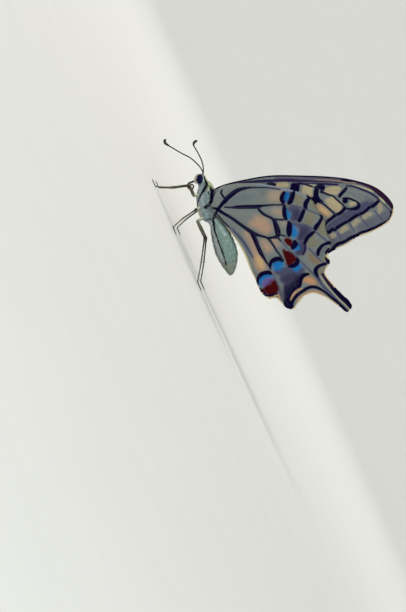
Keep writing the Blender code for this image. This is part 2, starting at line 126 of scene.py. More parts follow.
# Marks of the forewing: strokes of (x, y, half width), by the paint that fills them
FOREWING_MARKS = {
    "sea": (
        ((34.6, -5.2, 1.2), (38.0, -3.6, 1.4), (40.4, -2.2, 1.1)), ((27.4, -8.8, 1.4), (31.4, -6.6, 1.3)),
        ((35.6, 1.6, 0.4), (37.0, 1.0, 0.4))),
    # Amber and honey: painted light, the warm glow where sunlight shines through the wing
    "amber": (((24.6, -0.3, 0.4), (26.9, -2.1, 0.5)), ((21.6, 1.9, 0.5), (22.6, 2.0, 0.4))),
    "honey": (((24.9, -0.6, 0.35), (25.8, -1.25, 0.5), (26.5, -1.9, 0.3)),),
    "cream": (
        ((15.4, 4.5, 0.45), (16.4, 4.6, 0.6), (17.3, 4.6, 0.6)),
        ((21.6, 2.4, 0.8), (22.0, 3.4, 0.9), (21.9, 4.1, 0.7)), ((22.5, 2.4, 0.6), (22.6, 3.6, 0.7)),
        ((26.7, 3.2, 0.6), (28.0, 3.4, 0.8), (29.0, 3.5, 0.7)), ((27.2, 2.7, 0.5), (28.6, 2.8, 0.5)),
        ((26.9, 0.9, 0.6), (28.2, -0.1, 1.0), (29.0, -0.8, 0.8)), ((27.6, 1.3, 0.5), (29.2, 0.1, 0.8)),
        ((32.2, 0.2, 0.5), (33.0, 0.3, 0.4))),
    "haze": (
        ((36.9, 0.2, 0.6), (35.2, -0.5, 1.0), (33.4, -1.5, 1.0), (31.5, -2.5, 1.1), (29.8, -3.5, 1.1),
         (28.2, -4.6, 1.1), (27.0, -5.6, 0.8)),
        ((35.6, 0.3, 0.6), (34.2, -0.5, 0.8), (30.6, -2.2, 0.6))),
    "lilac": (
        ((15.0, 6.1, 0.3), (20.0, 6.1, 0.4), (26.0, 5.9, 0.5), (31.0, 5.4, 0.55), (34.5, 4.8, 0.4),
         (36.0, 4.0, 0.3)),),
    "plum": (
        ((6.5, 4.95, 0.1), (8.0, 5.15, 0.18), (10.0, 5.3, 0.26), (12.0, 5.42, 0.3), (14.0, 5.5, 0.3),
         (16.0, 5.58, 0.32), (18.0, 5.56, 0.33), (20.0, 5.48, 0.29), (22.0, 5.42, 0.22),
         (24.0, 5.35, 0.16), (27.0, 5.2, 0.1), (30.0, 5.0, 0.08)),
        ((20.0, 4.95, 0.12), (22.0, 4.85, 0.15), (24.0, 4.9, 0.15), (26.0, 4.75, 0.2), (29.0, 4.55, 0.18)),
        ((31.0, 4.35, 0.12), (33.0, 4.1, 0.2), (34.5, 3.5, 0.22), (36.0, 2.87, 0.2), (37.3, 2.1, 0.2),
         (38.3, 1.25, 0.18), (38.7, 0.6, 0.1), (39.3, 0.2, 0.08), (40.0, -0.4, 0.08), (40.8, -1.3, 0.08),
         (41.2, -2.2, 0.06))),
    # Border of the tip: black, with a brown tint that is painted light, the glow of light shining through it
    # from behind
    "umber": (
        ((30.0, 6.05, 0.2), (32.0, 5.7, 0.28), (34.0, 5.2, 0.38), (36.0, 4.52, 0.45), (37.5, 3.65, 0.56),
         (38.8, 2.65, 0.66), (39.8, 1.75, 0.66), (40.6, 0.75, 0.58), (41.2, -0.1, 0.45),
         (41.5, -0.8, 0.3)),),
    "rust": (((24.0, 5.75, 0.02), (28.0, 5.6, 0.05), (31.0, 5.15, 0.08), (33.0, 4.95, 0.05)),),
    "slate": (
        ((34.2, -2.6, 0.14), (35.0, -3.7, 0.15), (35.9, -4.8, 0.15)),
        ((31.7, -4.2, 0.14), (32.3, -5.2, 0.15), (32.9, -6.2, 0.15)),
        ((28.9, -6.2, 0.12), (29.4, -7.0, 0.14), (29.9, -7.9, 0.14)),
        ((37.4, -1.3, 0.14), (38.2, -2.3, 0.14), (39.3, -3.5, 0.14))),
    "lunule": (
        ((38.7, 0.1, 0.4), (38.6, -0.8, 0.55), (38.5, -1.6, 0.4)),
        ((35.1, -2.7, 0.6), (35.8, -2.2, 0.5), (36.5, -2.1, 0.4)),
        ((32.8, -4.3, 0.6), (33.3, -3.7, 0.55), (33.9, -3.7, 0.3)),
        ((30.0, -5.9, 0.6), (30.7, -5.3, 0.6), (31.2, -5.4, 0.4)),
        ((27.9, -7.0, 0.65), (28.3, -6.9, 0.4))),
    "ink": (
        # Root, over the side of the thorax
        ((0.5, 3.2, 0.45), (0.3, 2.2, 0.42), (0.35, 1.2, 0.38), (0.4, 0.3, 0.28)),
        # Front edge, from the root to the tip
        ((1.3, 3.75, 0.22), (3.4, 4.62, 0.26), (5.5, 5.2, 0.24), (8.0, 5.7, 0.18), (11.0, 6.25, 0.16),
         (13.7, 6.57, 0.16), (17.0, 6.66, 0.18), (20.5, 6.64, 0.19), (24.0, 6.48, 0.18),
         (28.0, 6.27, 0.18), (30.0, 6.07, 0.18), (32.0, 5.82, 0.16), (34.0, 5.45, 0.14), (36.5, 4.6, 0.14),
         (38.8, 3.3, 0.16), (40.2, 2.0, 0.16), (41.2, 0.7, 0.14), (41.8, -0.8, 0.1)),
        # Cell: wedge, squares and the bar at its end
        ((13.2, 4.85, 0.15), (14.2, 4.8, 0.25), (14.8, 4.6, 0.2)), ((18.8, 3.5, 0.55), (19.1, 4.4, 0.6)),
        ((19.7, 3.6, 0.6), (19.8, 4.4, 0.55)),
        ((20.3, 4.85, 0.1), (21.5, 4.7, 0.12), (22.5, 4.4, 0.13), (23.2, 4.2, 0.13)),
        ((24.2, 4.0, 0.4), (24.7, 4.1, 0.5), (25.6, 4.0, 0.5), (25.5, 3.4, 0.35)),
        ((24.2, 3.2, 0.5), (24.1, 2.3, 0.5), (24.3, 1.4, 0.6), (24.7, 1.0, 0.5)),
        ((23.6, 1.5, 0.35), (24.0, 0.4, 0.25)), ((24.9, 0.9, 0.4), (25.3, 0.7, 0.35)),
        ((22.0, 2.1, 0.12), (22.8, 1.6, 0.15), (23.5, 1.2, 0.2)),
        # Veins and the edges of the cream spots beyond the cell
        ((25.3, 0.6, 0.12), (26.0, 0.0, 0.12), (27.0, -0.8, 0.12), (28.0, -1.7, 0.12), (28.4, -2.1, 0.12)),
        ((25.2, 2.9, 0.15), (26.0, 2.7, 0.14), (27.0, 2.3, 0.14), (28.0, 2.0, 0.12), (28.6, 1.4, 0.12),
         (29.5, 0.6, 0.12), (30.3, -0.1, 0.12), (30.8, -0.6, 0.1)),
        ((31.0, 3.8, 0.2), (30.6, 3.3, 0.3), (30.1, 2.8, 0.3), (29.6, 2.2, 0.3), (29.4, 1.9, 0.2)),
        ((30.7, 0.9, 0.5), (30.8, 0.9, 0.5)),
        ((30.3, 1.5, 0.12), (31.3, 1.5, 0.15), (32.3, 1.2, 0.15), (33.2, 0.8, 0.13)),
        ((33.5, 0.6, 0.15), (33.8, 0.1, 0.25), (33.8, -0.4, 0.3), (33.2, -0.8, 0.3), (32.2, -0.95, 0.2),
         (31.3, -0.9, 0.15), (30.8, -0.6, 0.15)),
        ((30.0, 5.6, 0.15), (32.0, 5.3, 0.2)),
        # Inner and outer edge of the band beyond the cell
        ((30.7, -0.7, 0.3), (30.2, -1.3, 0.3), (29.5, -1.9, 0.3), (28.9, -2.2, 0.25), (28.3, -2.5, 0.3),
         (27.7, -3.0, 0.28), (27.0, -3.5, 0.28), (26.6, -3.9, 0.25), (26.2, -4.6, 0.18), (26.1, -5.5, 0.2),
         (26.4, -6.3, 0.25), (26.9, -6.2, 0.3)),
        ((38.2, 0.8, 0.25), (37.6, 0.2, 0.3), (37.0, -0.3, 0.3), (36.2, -0.6, 0.25), (35.6, -1.2, 0.28),
         (34.8, -1.8, 0.25), (33.9, -2.2, 0.25), (33.2, -2.5, 0.3), (32.3, -3.1, 0.3), (31.5, -3.7, 0.25),
         (30.6, -4.1, 0.25), (29.8, -4.6, 0.28), (29.0, -5.1, 0.3), (28.4, -5.7, 0.25), (27.8, -5.6, 0.3),
         (27.2, -6.2, 0.3)),
        # Line along the outer margin
        ((41.3, -1.5, 0.2), (41.0, -2.6, 0.12), (40.5, -3.4, 0.1), (39.8, -3.9, 0.15), (38.8, -4.5, 0.25),
         (37.5, -5.2, 0.25), (36.5, -5.6, 0.3), (35.5, -6.0, 0.25), (34.5, -6.2, 0.2), (33.6, -6.8, 0.3),
         (32.8, -7.2, 0.35), (31.8, -7.6, 0.3), (31.0, -8.1, 0.25), (30.2, -8.5, 0.3), (29.2, -8.8, 0.3),
         (28.5, -9.4, 0.35), (27.9, -10.2, 0.4), (27.0, -11.0, 0.35), (24.6, -12.3, 0.35),
         (22.6, -13.0, 0.3))),
    # Light streaks: pale scales, partly painted highlight where the wing's edges catch the light
    "light": (
        ((22.6, 4.75, 0.02), (23.4, 4.5, 0.06), (24.2, 4.35, 0.02)),
        ((32.4, 4.6, 0.04), (34.4, 4.0, 0.1), (36.0, 3.45, 0.12), (37.0, 2.95, 0.08)),
        ((38.4, 1.7, 0.08), (39.0, 1.2, 0.14), (39.7, 0.5, 0.1))),
}

# Marks of the hindwing, cell by cell from its front edge to its inner one
HINDWING_MARKS = {
    # Painted shade: darker, cooler ground about the hindwing's root
    "mist": (
        ((3.6, 0.3, 0.3), (5.2, 1.3, 0.6), (7.4, 1.6, 0.6), (9.2, 1.8, 0.3)),
        ((12.2, 2.7, 0.3), (13.2, 2.6, 0.3))),
    # Sand, amber and honey: painted light, the warm glow where sunlight shines through the wing
    "sand": (
        ((14.4, 1.9, 1.2), (15.6, 1.9, 1.4)), ((15.0, -1.5, 0.7), (16.0, -1.9, 0.8)),
        ((16.5, -4.2, 0.1), (17.1, -4.2, 0.2))),
    "amber": (
        ((9.6, -4.2, 0.5), (11.2, -4.3, 1.2), (12.8, -5.3, 1.2)), ((10.8, -3.2, 0.7), (12.4, -4.2, 1.0)),
        ((12.2, -8.4, 0.4), (13.2, -9.8, 0.8)),
        ((10.3, -10.4, 0.5), (10.9, -12.2, 0.9), (11.3, -13.6, 1.0), (11.9, -14.4, 0.8)),
        ((14.5, -8.0, 0.3), (15.3, -8.9, 0.25)), ((8.2, -6.4, 0.3), (9.4, -8.4, 0.4), (10.2, -10.4, 0.4))),
    "honey": (((10.9, -12.0, 0.3), (11.4, -12.9, 0.5), (11.8, -13.8, 0.4)),),
    "ochre": (((21.7, -17.0, 0.4), (22.6, -17.1, 0.6), (23.5, -17.5, 0.45)),),
    "dun": (((22.8, -11.3, 0.4), (23.4, -12.2, 0.6), (24.4, -13.0, 0.5)),),
    "pale": (
        ((20.3, 2.2, 0.9), (20.2, 0.7, 0.8)), ((23.0, -2.6, 0.9), (22.2, -4.4, 0.8)),
        ((23.2, 0.6, 0.45), (23.5, -0.3, 0.5)), ((25.6, -4.1, 0.5), (25.4, -5.6, 0.7), (26.0, -6.7, 0.4)),
        ((26.1, -12.2, 0.4), (26.3, -12.7, 0.4)),
        ((23.4, -7.6, 0.4), (23.2, -8.8, 0.7), (24.2, -8.5, 0.5)),
        ((25.2, -14.4, 0.5), (25.2, -15.3, 0.4)), ((22.4, -15.4, 0.3), (24.4, -17.9, 0.5))),
    "sea": (((26.4, -9.6, 0.3), (25.7, -10.6, 0.35), (25.4, -11.6, 0.2)),),
    "umber": (((25.6, -15.7, 0.22), (26.4, -16.8, 0.33), (27.3, -17.95, 0.42), (28.1, -18.9, 0.44)),),
    "lilac": (((14.6, -16.2, 0.2), (15.3, -17.8, 0.3), (16.0, -19.6, 0.4), (16.6, -21.2, 0.4)),),
    "haze": (
        ((17.6, -1.1, 0.35), (18.5, -1.1, 0.5)), ((18.8, -4.4, 0.35), (19.6, -4.5, 0.5)),
        ((18.6, -1.0, 0.8), (19.7, -1.6, 1.1), (19.5, -2.6, 1.1), (18.9, -3.0, 0.8)),
        ((18.5, 1.6, 0.5), (18.4, 2.5, 0.4)), ((20.4, -4.8, 0.6), (21.8, -5.4, 0.9), (22.6, -6.0, 0.7)),
        ((21.3, -6.6, 1.2), (20.6, -7.6, 0.9)),
        ((20.9, -9.0, 0.8), (20.8, -10.4, 0.9), (19.8, -11.0, 0.5)),
        ((15.6, -15.0, 0.9), (17.4, -15.4, 1.2), (19.2, -15.7, 1.3), (20.6, -15.0, 1.0)),
        ((16.9, -16.6, 1.1), (18.6, -17.0, 1.6), (18.0, -19.2, 1.2), (17.8, -21.2, 0.6))),
    "dust": (
        ((19.7, -1.9, 0.6), (19.6, -2.6, 0.6)), ((21.4, -6.0, 0.8), (20.9, -7.0, 0.6)),
        ((20.9, -9.4, 0.4), (20.7, -10.4, 0.5)),
        ((17.3, -17.0, 0.8), (19.4, -16.7, 1.1), (18.4, -18.2, 1.2), (17.8, -19.8, 0.9))),
    "navy": (
        ((17.3, -18.4, 0.1), (17.4, -19.4, 0.3)),
        ((20.9, -16.0, 0.2), (20.2, -16.9, 0.4), (19.6, -17.9, 0.6), (18.5, -19.0, 0.7),
         (17.8, -20.2, 0.75), (17.7, -21.6, 0.65)),
        ((18.5, 2.6, 0.3), (18.3, 1.8, 0.4), (18.0, 1.0, 0.4)), ((16.7, 2.4, 0.3), (16.6, 1.4, 0.4)),
        ((17.2, -1.0, 0.3), (17.3, -2.2, 0.4)), ((18.3, -4.6, 0.4), (18.4, -6.4, 0.5)),
        ((19.5, -9.4, 0.4), (19.8, -9.1, 0.4)), ((19.4, -13.9, 0.4), (20.1, -13.6, 0.3)),
        ((14.6, -13.0, 0.4), (16.2, -12.9, 0.4)),
        ((11.3, -17.0, 0.3), (12.2, -16.1, 0.4), (13.4, -15.8, 0.4))),
    "plum": (
        ((21.6, -8.6, 0.25), (21.7, -9.6, 0.2), (21.6, -10.4, 0.2), (21.2, -11.2, 0.18)),
        ((24.4, -16.0, 0.16), (24.95, -17.05, 0.18), (25.5, -18.1, 0.18), (26.2, -18.95, 0.16),
         (27.0, -19.7, 0.1))),
    "steel": (
        ((10.2, 4.7, 0.06), (11.9, 4.55, 0.18), (14.8, 3.95, 0.18), (17.3, 3.5, 0.2), (19.5, 2.9, 0.16),
         (21.4, 2.15, 0.14), (22.4, 1.7, 0.08)),),
    "slate": (
        ((17.0, 0.0, 0.1), (19.0, -0.15, 0.12), (20.8, -0.6, 0.14), (22.4, -1.2, 0.14),
         (23.6, -1.65, 0.15), (25.2, -2.4, 0.15)),
        ((14.3, -15.5, 0.1), (15.1, -17.5, 0.1), (15.8, -19.5, 0.1), (16.3, -21.5, 0.1)),
        ((17.2, -13.4, 0.12), (17.8, -14.6, 0.12)),
        ((15.8, -7.8, 0.12), (16.6, -8.6, 0.16), (17.4, -9.5, 0.16), (18.2, -10.3, 0.15),
         (19.3, -11.4, 0.17), (20.9, -13.0, 0.18), (22.4, -14.6, 0.2), (23.2, -15.3, 0.22),
         (24.2, -16.5, 0.22), (25.3, -17.9, 0.24), (26.2, -18.9, 0.32), (27.1, -19.8, 0.36),
         (28.0, -20.7, 0.32), (29.0, -21.7, 0.2)),
        ((22.5, -9.8, 0.14), (24.0, -11.4, 0.2), (25.1, -12.6, 0.12), (26.2, -13.5, 0.12)),
        ((21.8, -4.6, 0.1), (23.3, -5.4, 0.15), (24.3, -6.3, 0.16), (25.3, -7.2, 0.17),
         (26.9, -8.5, 0.17)),
        ((4.6, -5.0, 0.12), (5.8, -6.2, 0.28), (7.5, -8.2, 0.32), (9.0, -10.5, 0.28), (9.8, -12.0, 0.2))),
    "cobalt": (((17.55, 2.8, 0.3), (17.35, 2.1, 0.5), (17.2, 1.4, 0.45), (17.15, 0.8, 0.25)),),
    "blue": (
        ((17.9, 2.55, 0.1), (17.8, 2.0, 0.2), (17.55, 1.4, 0.2)),
        ((17.4, -1.1, 0.1), (17.75, -1.8, 0.35), (17.95, -2.4, 0.5), (17.7, -3.0, 0.35)),
        ((19.0, -4.7, 0.15), (19.15, -5.3, 0.4), (19.3, -6.0, 0.65), (19.3, -6.7, 0.62),
         (19.1, -7.2, 0.42)),
        ((19.5, -6.5, 0.5), (19.85, -6.4, 0.2)),
        ((19.4, -10.1, 0.4), (19.95, -9.75, 0.46), (20.25, -9.9, 0.28)),
        ((20.05, -9.5, 0.3), (20.2, -9.0, 0.12)),
        ((19.2, -14.5, 0.4), (19.9, -14.3, 0.55), (20.6, -13.8, 0.35)),
        ((19.4, -14.8, 0.35), (19.9, -14.8, 0.3)),
        ((14.6, -13.8, 0.5), (15.4, -13.6, 0.7), (16.2, -13.5, 0.6), (16.6, -13.7, 0.35)),
        ((14.9, -14.4, 0.5), (15.9, -14.3, 0.5)),
        ((11.5, -18.3, 0.4), (11.5, -17.4, 0.5), (12.0, -16.7, 0.55), (12.8, -16.3, 0.45),
         (13.6, -16.2, 0.35), (14.1, -16.4, 0.25))),
    "violet": (
        ((12.4, -17.8, 0.5), (13.1, -17.2, 0.6), (13.7, -17.0, 0.4)),
        ((12.5, -18.2, 0.45), (13.0, -18.2, 0.45))),
    "wine": (((12.7, -18.5, 0.2), (13.3, -18.0, 0.3), (13.9, -17.5, 0.4), (14.4, -17.0, 0.3)),),
    "red": (
        ((17.3, -8.0, 0.4), (18.0, -8.5, 0.65), (18.5, -9.0, 0.55)),
        ((17.6, -7.9, 0.45), (18.3, -8.2, 0.4)),
        ((16.8, -10.3, 0.3), (17.2, -11.0, 0.5), (18.0, -12.2, 0.85), (18.3, -13.0, 0.7)),
        ((17.6, -10.9, 0.5), (18.5, -11.6, 0.62), (19.1, -12.4, 0.68)),
        ((17.8, -13.0, 0.5), (17.9, -13.5, 0.35)),
        ((12.5, -19.5, 0.7), (13.5, -19.1, 0.85), (14.3, -18.6, 0.8), (14.7, -17.6, 0.45)),
        ((13.6, -19.9, 0.7), (14.9, -19.2, 0.75), (14.9, -18.2, 0.5))),
    "ink": (
        # Root, over the side of the thorax
        ((1.1, 3.2, 0.35), (0.7, 2.4, 0.38), (0.5, 1.6, 0.35), (0.4, 0.6, 0.25)),
        ((0.8, -0.7, 0.12), (1.9, -1.0, 0.28)), ((1.65, -1.45, 0.16), (1.4, -1.95, 0.2), (1.1, -2.4, 0.2)),
        ((1.8, -2.2, 0.04), (3.0, -3.6, 0.06), (4.4, -5.0, 0.05)), ((1.6, -3.0, 0.01), (3.6, -5.0, 0.02)),
        # Veins about the cell
        ((1.9, -0.95, 0.27), (2.5, -0.3, 0.29), (2.95, 0.3, 0.33), (3.5, 0.85, 0.42), (3.97, 1.45, 0.44),
         (4.8, 2.2, 0.46), (5.55, 2.8, 0.44), (6.25, 3.25, 0.39), (7.2, 3.6, 0.31), (8.16, 3.8, 0.22),
         (9.1, 3.92, 0.14), (10.5, 3.94, 0.08), (13.0, 3.92, 0.05), (14.5, 3.75, 0.05), (16.0, 3.5, 0.04)),
        ((3.4, 1.5, 0.15), (2.85, 2.25, 0.13), (2.6, 2.85, 0.12), (2.9, 3.4, 0.08)),
        ((3.4, -0.5, 0.08), (4.8, -0.58, 0.12), (6.2, -0.52, 0.3), (8.0, -0.46, 0.35), (10.0, -0.44, 0.36),
         (11.0, -0.4, 0.37), (12.0, -0.2, 0.17), (13.0, -0.1, 0.12), (14.5, 0.0, 0.09), (16.8, 0.0, 0.1)),
        ((11.2, -1.1, 0.22), (12.1, -2.0, 0.22), (13.2, -2.6, 0.2), (14.2, -3.1, 0.22),
         (14.65, -3.6, 0.34), (14.95, -4.4, 0.46), (15.25, -5.3, 0.54), (15.48, -6.2, 0.56),
         (15.5, -6.8, 0.48), (15.1, -7.25, 0.33), (14.3, -7.4, 0.2), (13.3, -7.5, 0.15)),
        ((1.9, -1.1, 0.3), (3.3, -2.0, 0.25), (5.0, -3.0, 0.25), (6.5, -4.1, 0.27), (7.9, -5.1, 0.28),
         (9.2, -6.0, 0.36), (10.2, -6.6, 0.35), (11.5, -7.0, 0.2), (12.6, -7.3, 0.17), (13.4, -7.6, 0.17),
         (14.3, -7.4, 0.2)),
        ((9.6, -6.4, 0.4), (10.1, -7.4, 0.42), (10.6, -8.6, 0.4), (11.0, -9.6, 0.37), (11.4, -10.5, 0.4),
         (11.9, -11.4, 0.33), (12.4, -12.2, 0.22), (12.9, -13.0, 0.15), (13.4, -13.7, 0.1),
         (13.9, -14.6, 0.08)),
        ((13.4, -7.7, 0.2), (14.0, -8.5, 0.16), (14.6, -9.4, 0.14), (15.2, -10.4, 0.12),
         (15.9, -11.3, 0.12), (16.7, -12.6, 0.15)),
        ((15.3, -7.2, 0.2), (15.8, -7.8, 0.1), (16.2, -8.2, 0.04)),
        ((16.2, -6.8, 0.1), (17.2, -7.1, 0.08)),
        ((14.4, -3.2, 0.12), (15.5, -3.3, 0.12), (16.8, -3.4, 0.12)),
        # First cell
        ((16.9, 2.8, 0.26), (16.45, 2.0, 0.38), (16.35, 1.2, 0.4), (16.7, 0.5, 0.32)),
        ((19.1, 2.9, 0.25), (18.9, 2.2, 0.4), (18.6, 1.3, 0.42), (18.3, 0.6, 0.4), (17.9, 0.4, 0.25)),
        ((22.5, 1.4, 0.3), (22.1, 0.85, 0.42), (21.8, 0.3, 0.45), (21.7, -0.3, 0.4), (21.95, -0.75, 0.2)),
        ((22.1, 1.9, 0.08), (23.2, 1.4, 0.1)),
        # Second cell
        ((16.95, -0.2, 0.22), (16.9, -1.0, 0.36), (16.95, -2.0, 0.4), (17.15, -2.8, 0.34),
         (17.4, -3.3, 0.2)),
        ((21.35, -1.3, 0.32), (21.05, -2.1, 0.36), (20.72, -2.95, 0.37), (20.35, -3.6, 0.34)),
        ((25.6, -2.8, 0.3), (25.2, -3.4, 0.3), (24.9, -4.0, 0.3), (24.3, -4.8, 0.45), (24.0, -5.3, 0.4),
         (24.1, -5.6, 0.2)),
        ((25.1, -2.4, 0.15), (25.9, -2.9, 0.15), (26.3, -3.4, 0.1)),
        # Third cell
        ((17.95, -3.9, 0.25), (18.1, -4.6, 0.5), (18.05, -5.4, 0.58), (18.0, -6.2, 0.52),
         (18.0, -6.9, 0.32)),
        ((23.6, -6.2, 0.25), (23.0, -6.7, 0.35), (22.3, -7.3, 0.35), (21.9, -8.0, 0.35),
         (21.6, -8.6, 0.3)),
        ((27.2, -8.6, 0.35), (26.4, -8.8, 0.25), (25.6, -9.2, 0.28), (25.0, -9.9, 0.33),
         (24.6, -10.7, 0.35), (24.6, -11.3, 0.25)),
        ((27.6, -9.6, 0.36), (27.05, -10.25, 0.38), (26.45, -10.85, 0.26)),
        ((26.5, -12.1, 0.28), (26.95, -13.0, 0.38)),
        # Fourth cell
        ((19.3, -8.4, 0.4), (19.4, -9.0, 0.5), (18.9, -9.7, 0.4)), ((19.6, -8.9, 0.3), (19.8, -8.9, 0.25)),
        ((26.2, -13.4, 0.26), (25.6, -13.55, 0.26), (24.7, -13.95, 0.32), (24.1, -14.6, 0.4),
         (24.05, -15.2, 0.38), (24.35, -15.9, 0.26), (24.6, -16.3, 0.14)),
        # Fifth cell and the tail
        ((19.9, -12.2, 0.25), (20.0, -12.9, 0.35), (19.4, -13.6, 0.45), (18.6, -13.9, 0.35),
         (18.0, -14.0, 0.2)),
        ((22.4, -15.7, 0.2), (21.5, -15.9, 0.38), (20.9, -16.5, 0.36), (20.6, -17.4, 0.35),
         (20.5, -18.2, 0.32), (19.9, -18.7, 0.35), (19.2, -19.3, 0.3), (18.7, -20.0, 0.25),
         (18.3, -20.8, 0.25)),
        ((18.5, -22.5, 0.45), (19.0, -21.5, 0.35), (19.7, -20.6, 0.33), (20.6, -19.9, 0.3),
         (21.5, -19.3, 0.3), (22.5, -18.75, 0.28), (23.6, -18.6, 0.26), (24.6, -18.85, 0.24),
         (25.6, -19.4, 0.2), (26.6, -20.1, 0.16), (27.7, -21.05, 0.2), (28.8, -21.95, 0.28),
         (29.8, -22.85, 0.28), (30.6, -23.6, 0.27), (31.3, -24.3, 0.2)),
        ((27.9, -18.7, 0.22), (28.4, -19.3, 0.42), (28.9, -19.8, 0.46), (30.1, -21.05, 0.48),
         (31.2, -22.2, 0.46), (31.9, -23.1, 0.35)),
        # Sixth cell and the corner beyond it
        ((13.8, -14.0, 0.15), (13.8, -13.6, 0.25), (13.9, -13.0, 0.3), (14.5, -12.5, 0.4),
         (15.3, -12.2, 0.4), (16.1, -12.3, 0.3), (16.5, -12.7, 0.2)),
        ((17.5, -21.8, 0.6), (17.8, -22.7, 0.8), (18.4, -23.0, 0.6), (17.2, -22.9, 0.5)),
        # Eyespot of the inner corner
        ((11.8, -19.6, 0.2), (11.2, -18.8, 0.15), (10.9, -17.8, 0.15), (10.9, -17.0, 0.25),
         (11.2, -16.3, 0.35), (11.8, -15.7, 0.4), (12.6, -15.4, 0.38), (13.4, -15.3, 0.35),
         (13.9, -15.6, 0.25)),
        ((12.3, -20.2, 0.25), (13.0, -20.6, 0.2), (13.8, -20.6, 0.15), (14.8, -20.3, 0.2),
         (15.3, -20.1, 0.15))),
    "rust": (
        ((18.4, -21.6, 0.12), (18.8, -20.7, 0.25), (19.4, -19.9, 0.28), (20.2, -19.3, 0.25),
         (20.9, -19.0, 0.2)),
        ((19.9, -22.2, 0.25), (20.3, -21.4, 0.32), (21.3, -20.55, 0.34), (22.5, -19.9, 0.34),
         (23.8, -19.7, 0.34), (25.0, -20.0, 0.34), (26.2, -20.9, 0.3), (27.8, -22.1, 0.22),
         (29.4, -23.4, 0.14)),
        ((13.2, -20.95, 0.12), (14.2, -21.0, 0.15), (15.0, -20.6, 0.2), (15.6, -20.5, 0.2),
         (15.9, -21.2, 0.2), (16.1, -21.8, 0.15))),
    # Light streaks: pale scales, partly painted highlight where the wing's edges catch the light
    "light": (
        ((3.9, -5.1, 0.04), (5.4, -7.0, 0.16), (6.95, -9.2, 0.22), (7.95, -11.1, 0.25), (8.7, -13.0, 0.26),
         (9.5, -15.2, 0.22), (10.4, -17.0, 0.14)),
        ((24.9, -15.9, 0.02), (26.0, -17.5, 0.05), (27.15, -18.95, 0.05), (28.3, -20.3, 0.05),
         (29.5, -21.5, 0.06), (30.8, -22.65, 0.06), (31.6, -23.5, 0.04)),
        ((26.7, -11.6, 0.3), (26.8, -11.8, 0.3)), ((26.9, -14.0, 0.2), (27.0, -14.1, 0.2))),
}

# Paints in the order they are laid: softness, raggedness and spread of their edges
PAINTS = {
    "mist": (1.4, 0.5, 0.2), "sea": (0.7, 0.5, 0.0), "sand": (1.1, 0.4, 0.1), "amber": (1.0, 0.4, 0.1),
    "pale": (0.5, 0.3, 0.1), "honey": (0.7, 0.4, 0.1), "ochre": (0.6, 0.3, 0.1), "dun": (0.6, 0.4, 0.1),
    "cream": (0.25, 0.15, 0.05), "lilac": (0.4, 0.3, 0.0), "haze": (0.5, 0.7, 0.05),
    "dust": (0.8, 0.8, 0.1), "navy": (0.6, 0.5, 0.1), "plum": (0.16, 0.1, 0.04),
    "umber": (0.16, 0.25, 0.08), "steel": (0.14, 0.1, 0.0), "slate": (0.16, 0.12, 0.0),
    "lunule": (0.3, 0.3, 0.0), "cobalt": (0.3, 0.2, 0.0), "blue": (0.55, 0.3, -0.02),
    "violet": (0.4, 0.3, 0.0), "wine": (0.45, 0.3, 0.0), "red": (0.26, 0.2, 0.03), "ink": (0.12, 0.1, 0.1),
    "rust": (0.14, 0.1, 0.0), "light": (0.14, 0.1, 0.0),
}

# Lines through the marks, and how far from them their distances are followed
STROKE_STEP = 0.25
VEIN_STEP = 0.4
FAR = 2.0

# Points of a wing's mesh: shares of the grid's step, and the half width of the marks that they follow
ROW_SHARE = 0.866               # between rows, so that the triangles are even-sided
FOLLOW_SHARE = 0.75             # along a fine mark
RIM_SHARE = 0.5                 # least distance from the rim
MERGE_SHARE = 0.6               # points closer than this become one
FINE_MARK = 0.3

# Relief of a wing: a cell bows out beyond this distance from its veins, and the membrane thins to its rim
PLEAT_REACH = 0.9
RIM_TAPER = 0.5
RIM_THICKNESS = 0.3             # share of the membrane's

# Scales of the fringe; their random parts are the spread of a normal draw, or low and high ends
FRINGE_SOFTENING = 12           # rounds of smoothing at the fringe's two ends
FRINGE_PROBE = 0.1
FRINGE_SINK = 0.08
FRINGE_SPRAY = 0.16
FRINGE_LIFT = 0.02
FRINGE_TILT = 0.12
FRINGE_WAVE = 0.18
FRINGE_BEATS = (2.1, 0.63)
FRINGE_LENGTHS = (0.8, 1.15)
FRINGE_WIDTHS = (0.05, 0.09)
FRINGE_FLATNESS = 0.25
FRINGE_DIM_Y = -10.5            # above it the hindwing's fringe lies over the forewing, and is dimmer
FRINGE_DIM_SPAN = 1.5

# A fringe scale is black where the wing's nearest point, in a band along the rim, is this near its black
RIM_BAND = 0.25
RIM_BLACK = -0.02
TAIL_BLACK = 0.15
TAIL_TOP_Y = -18.0
TAIL_END_X = 30.4
TAIL_FRONT_X = 29.2
TAIL_FRONT = 7.4                # x + y beyond which the rim is the tail's front one

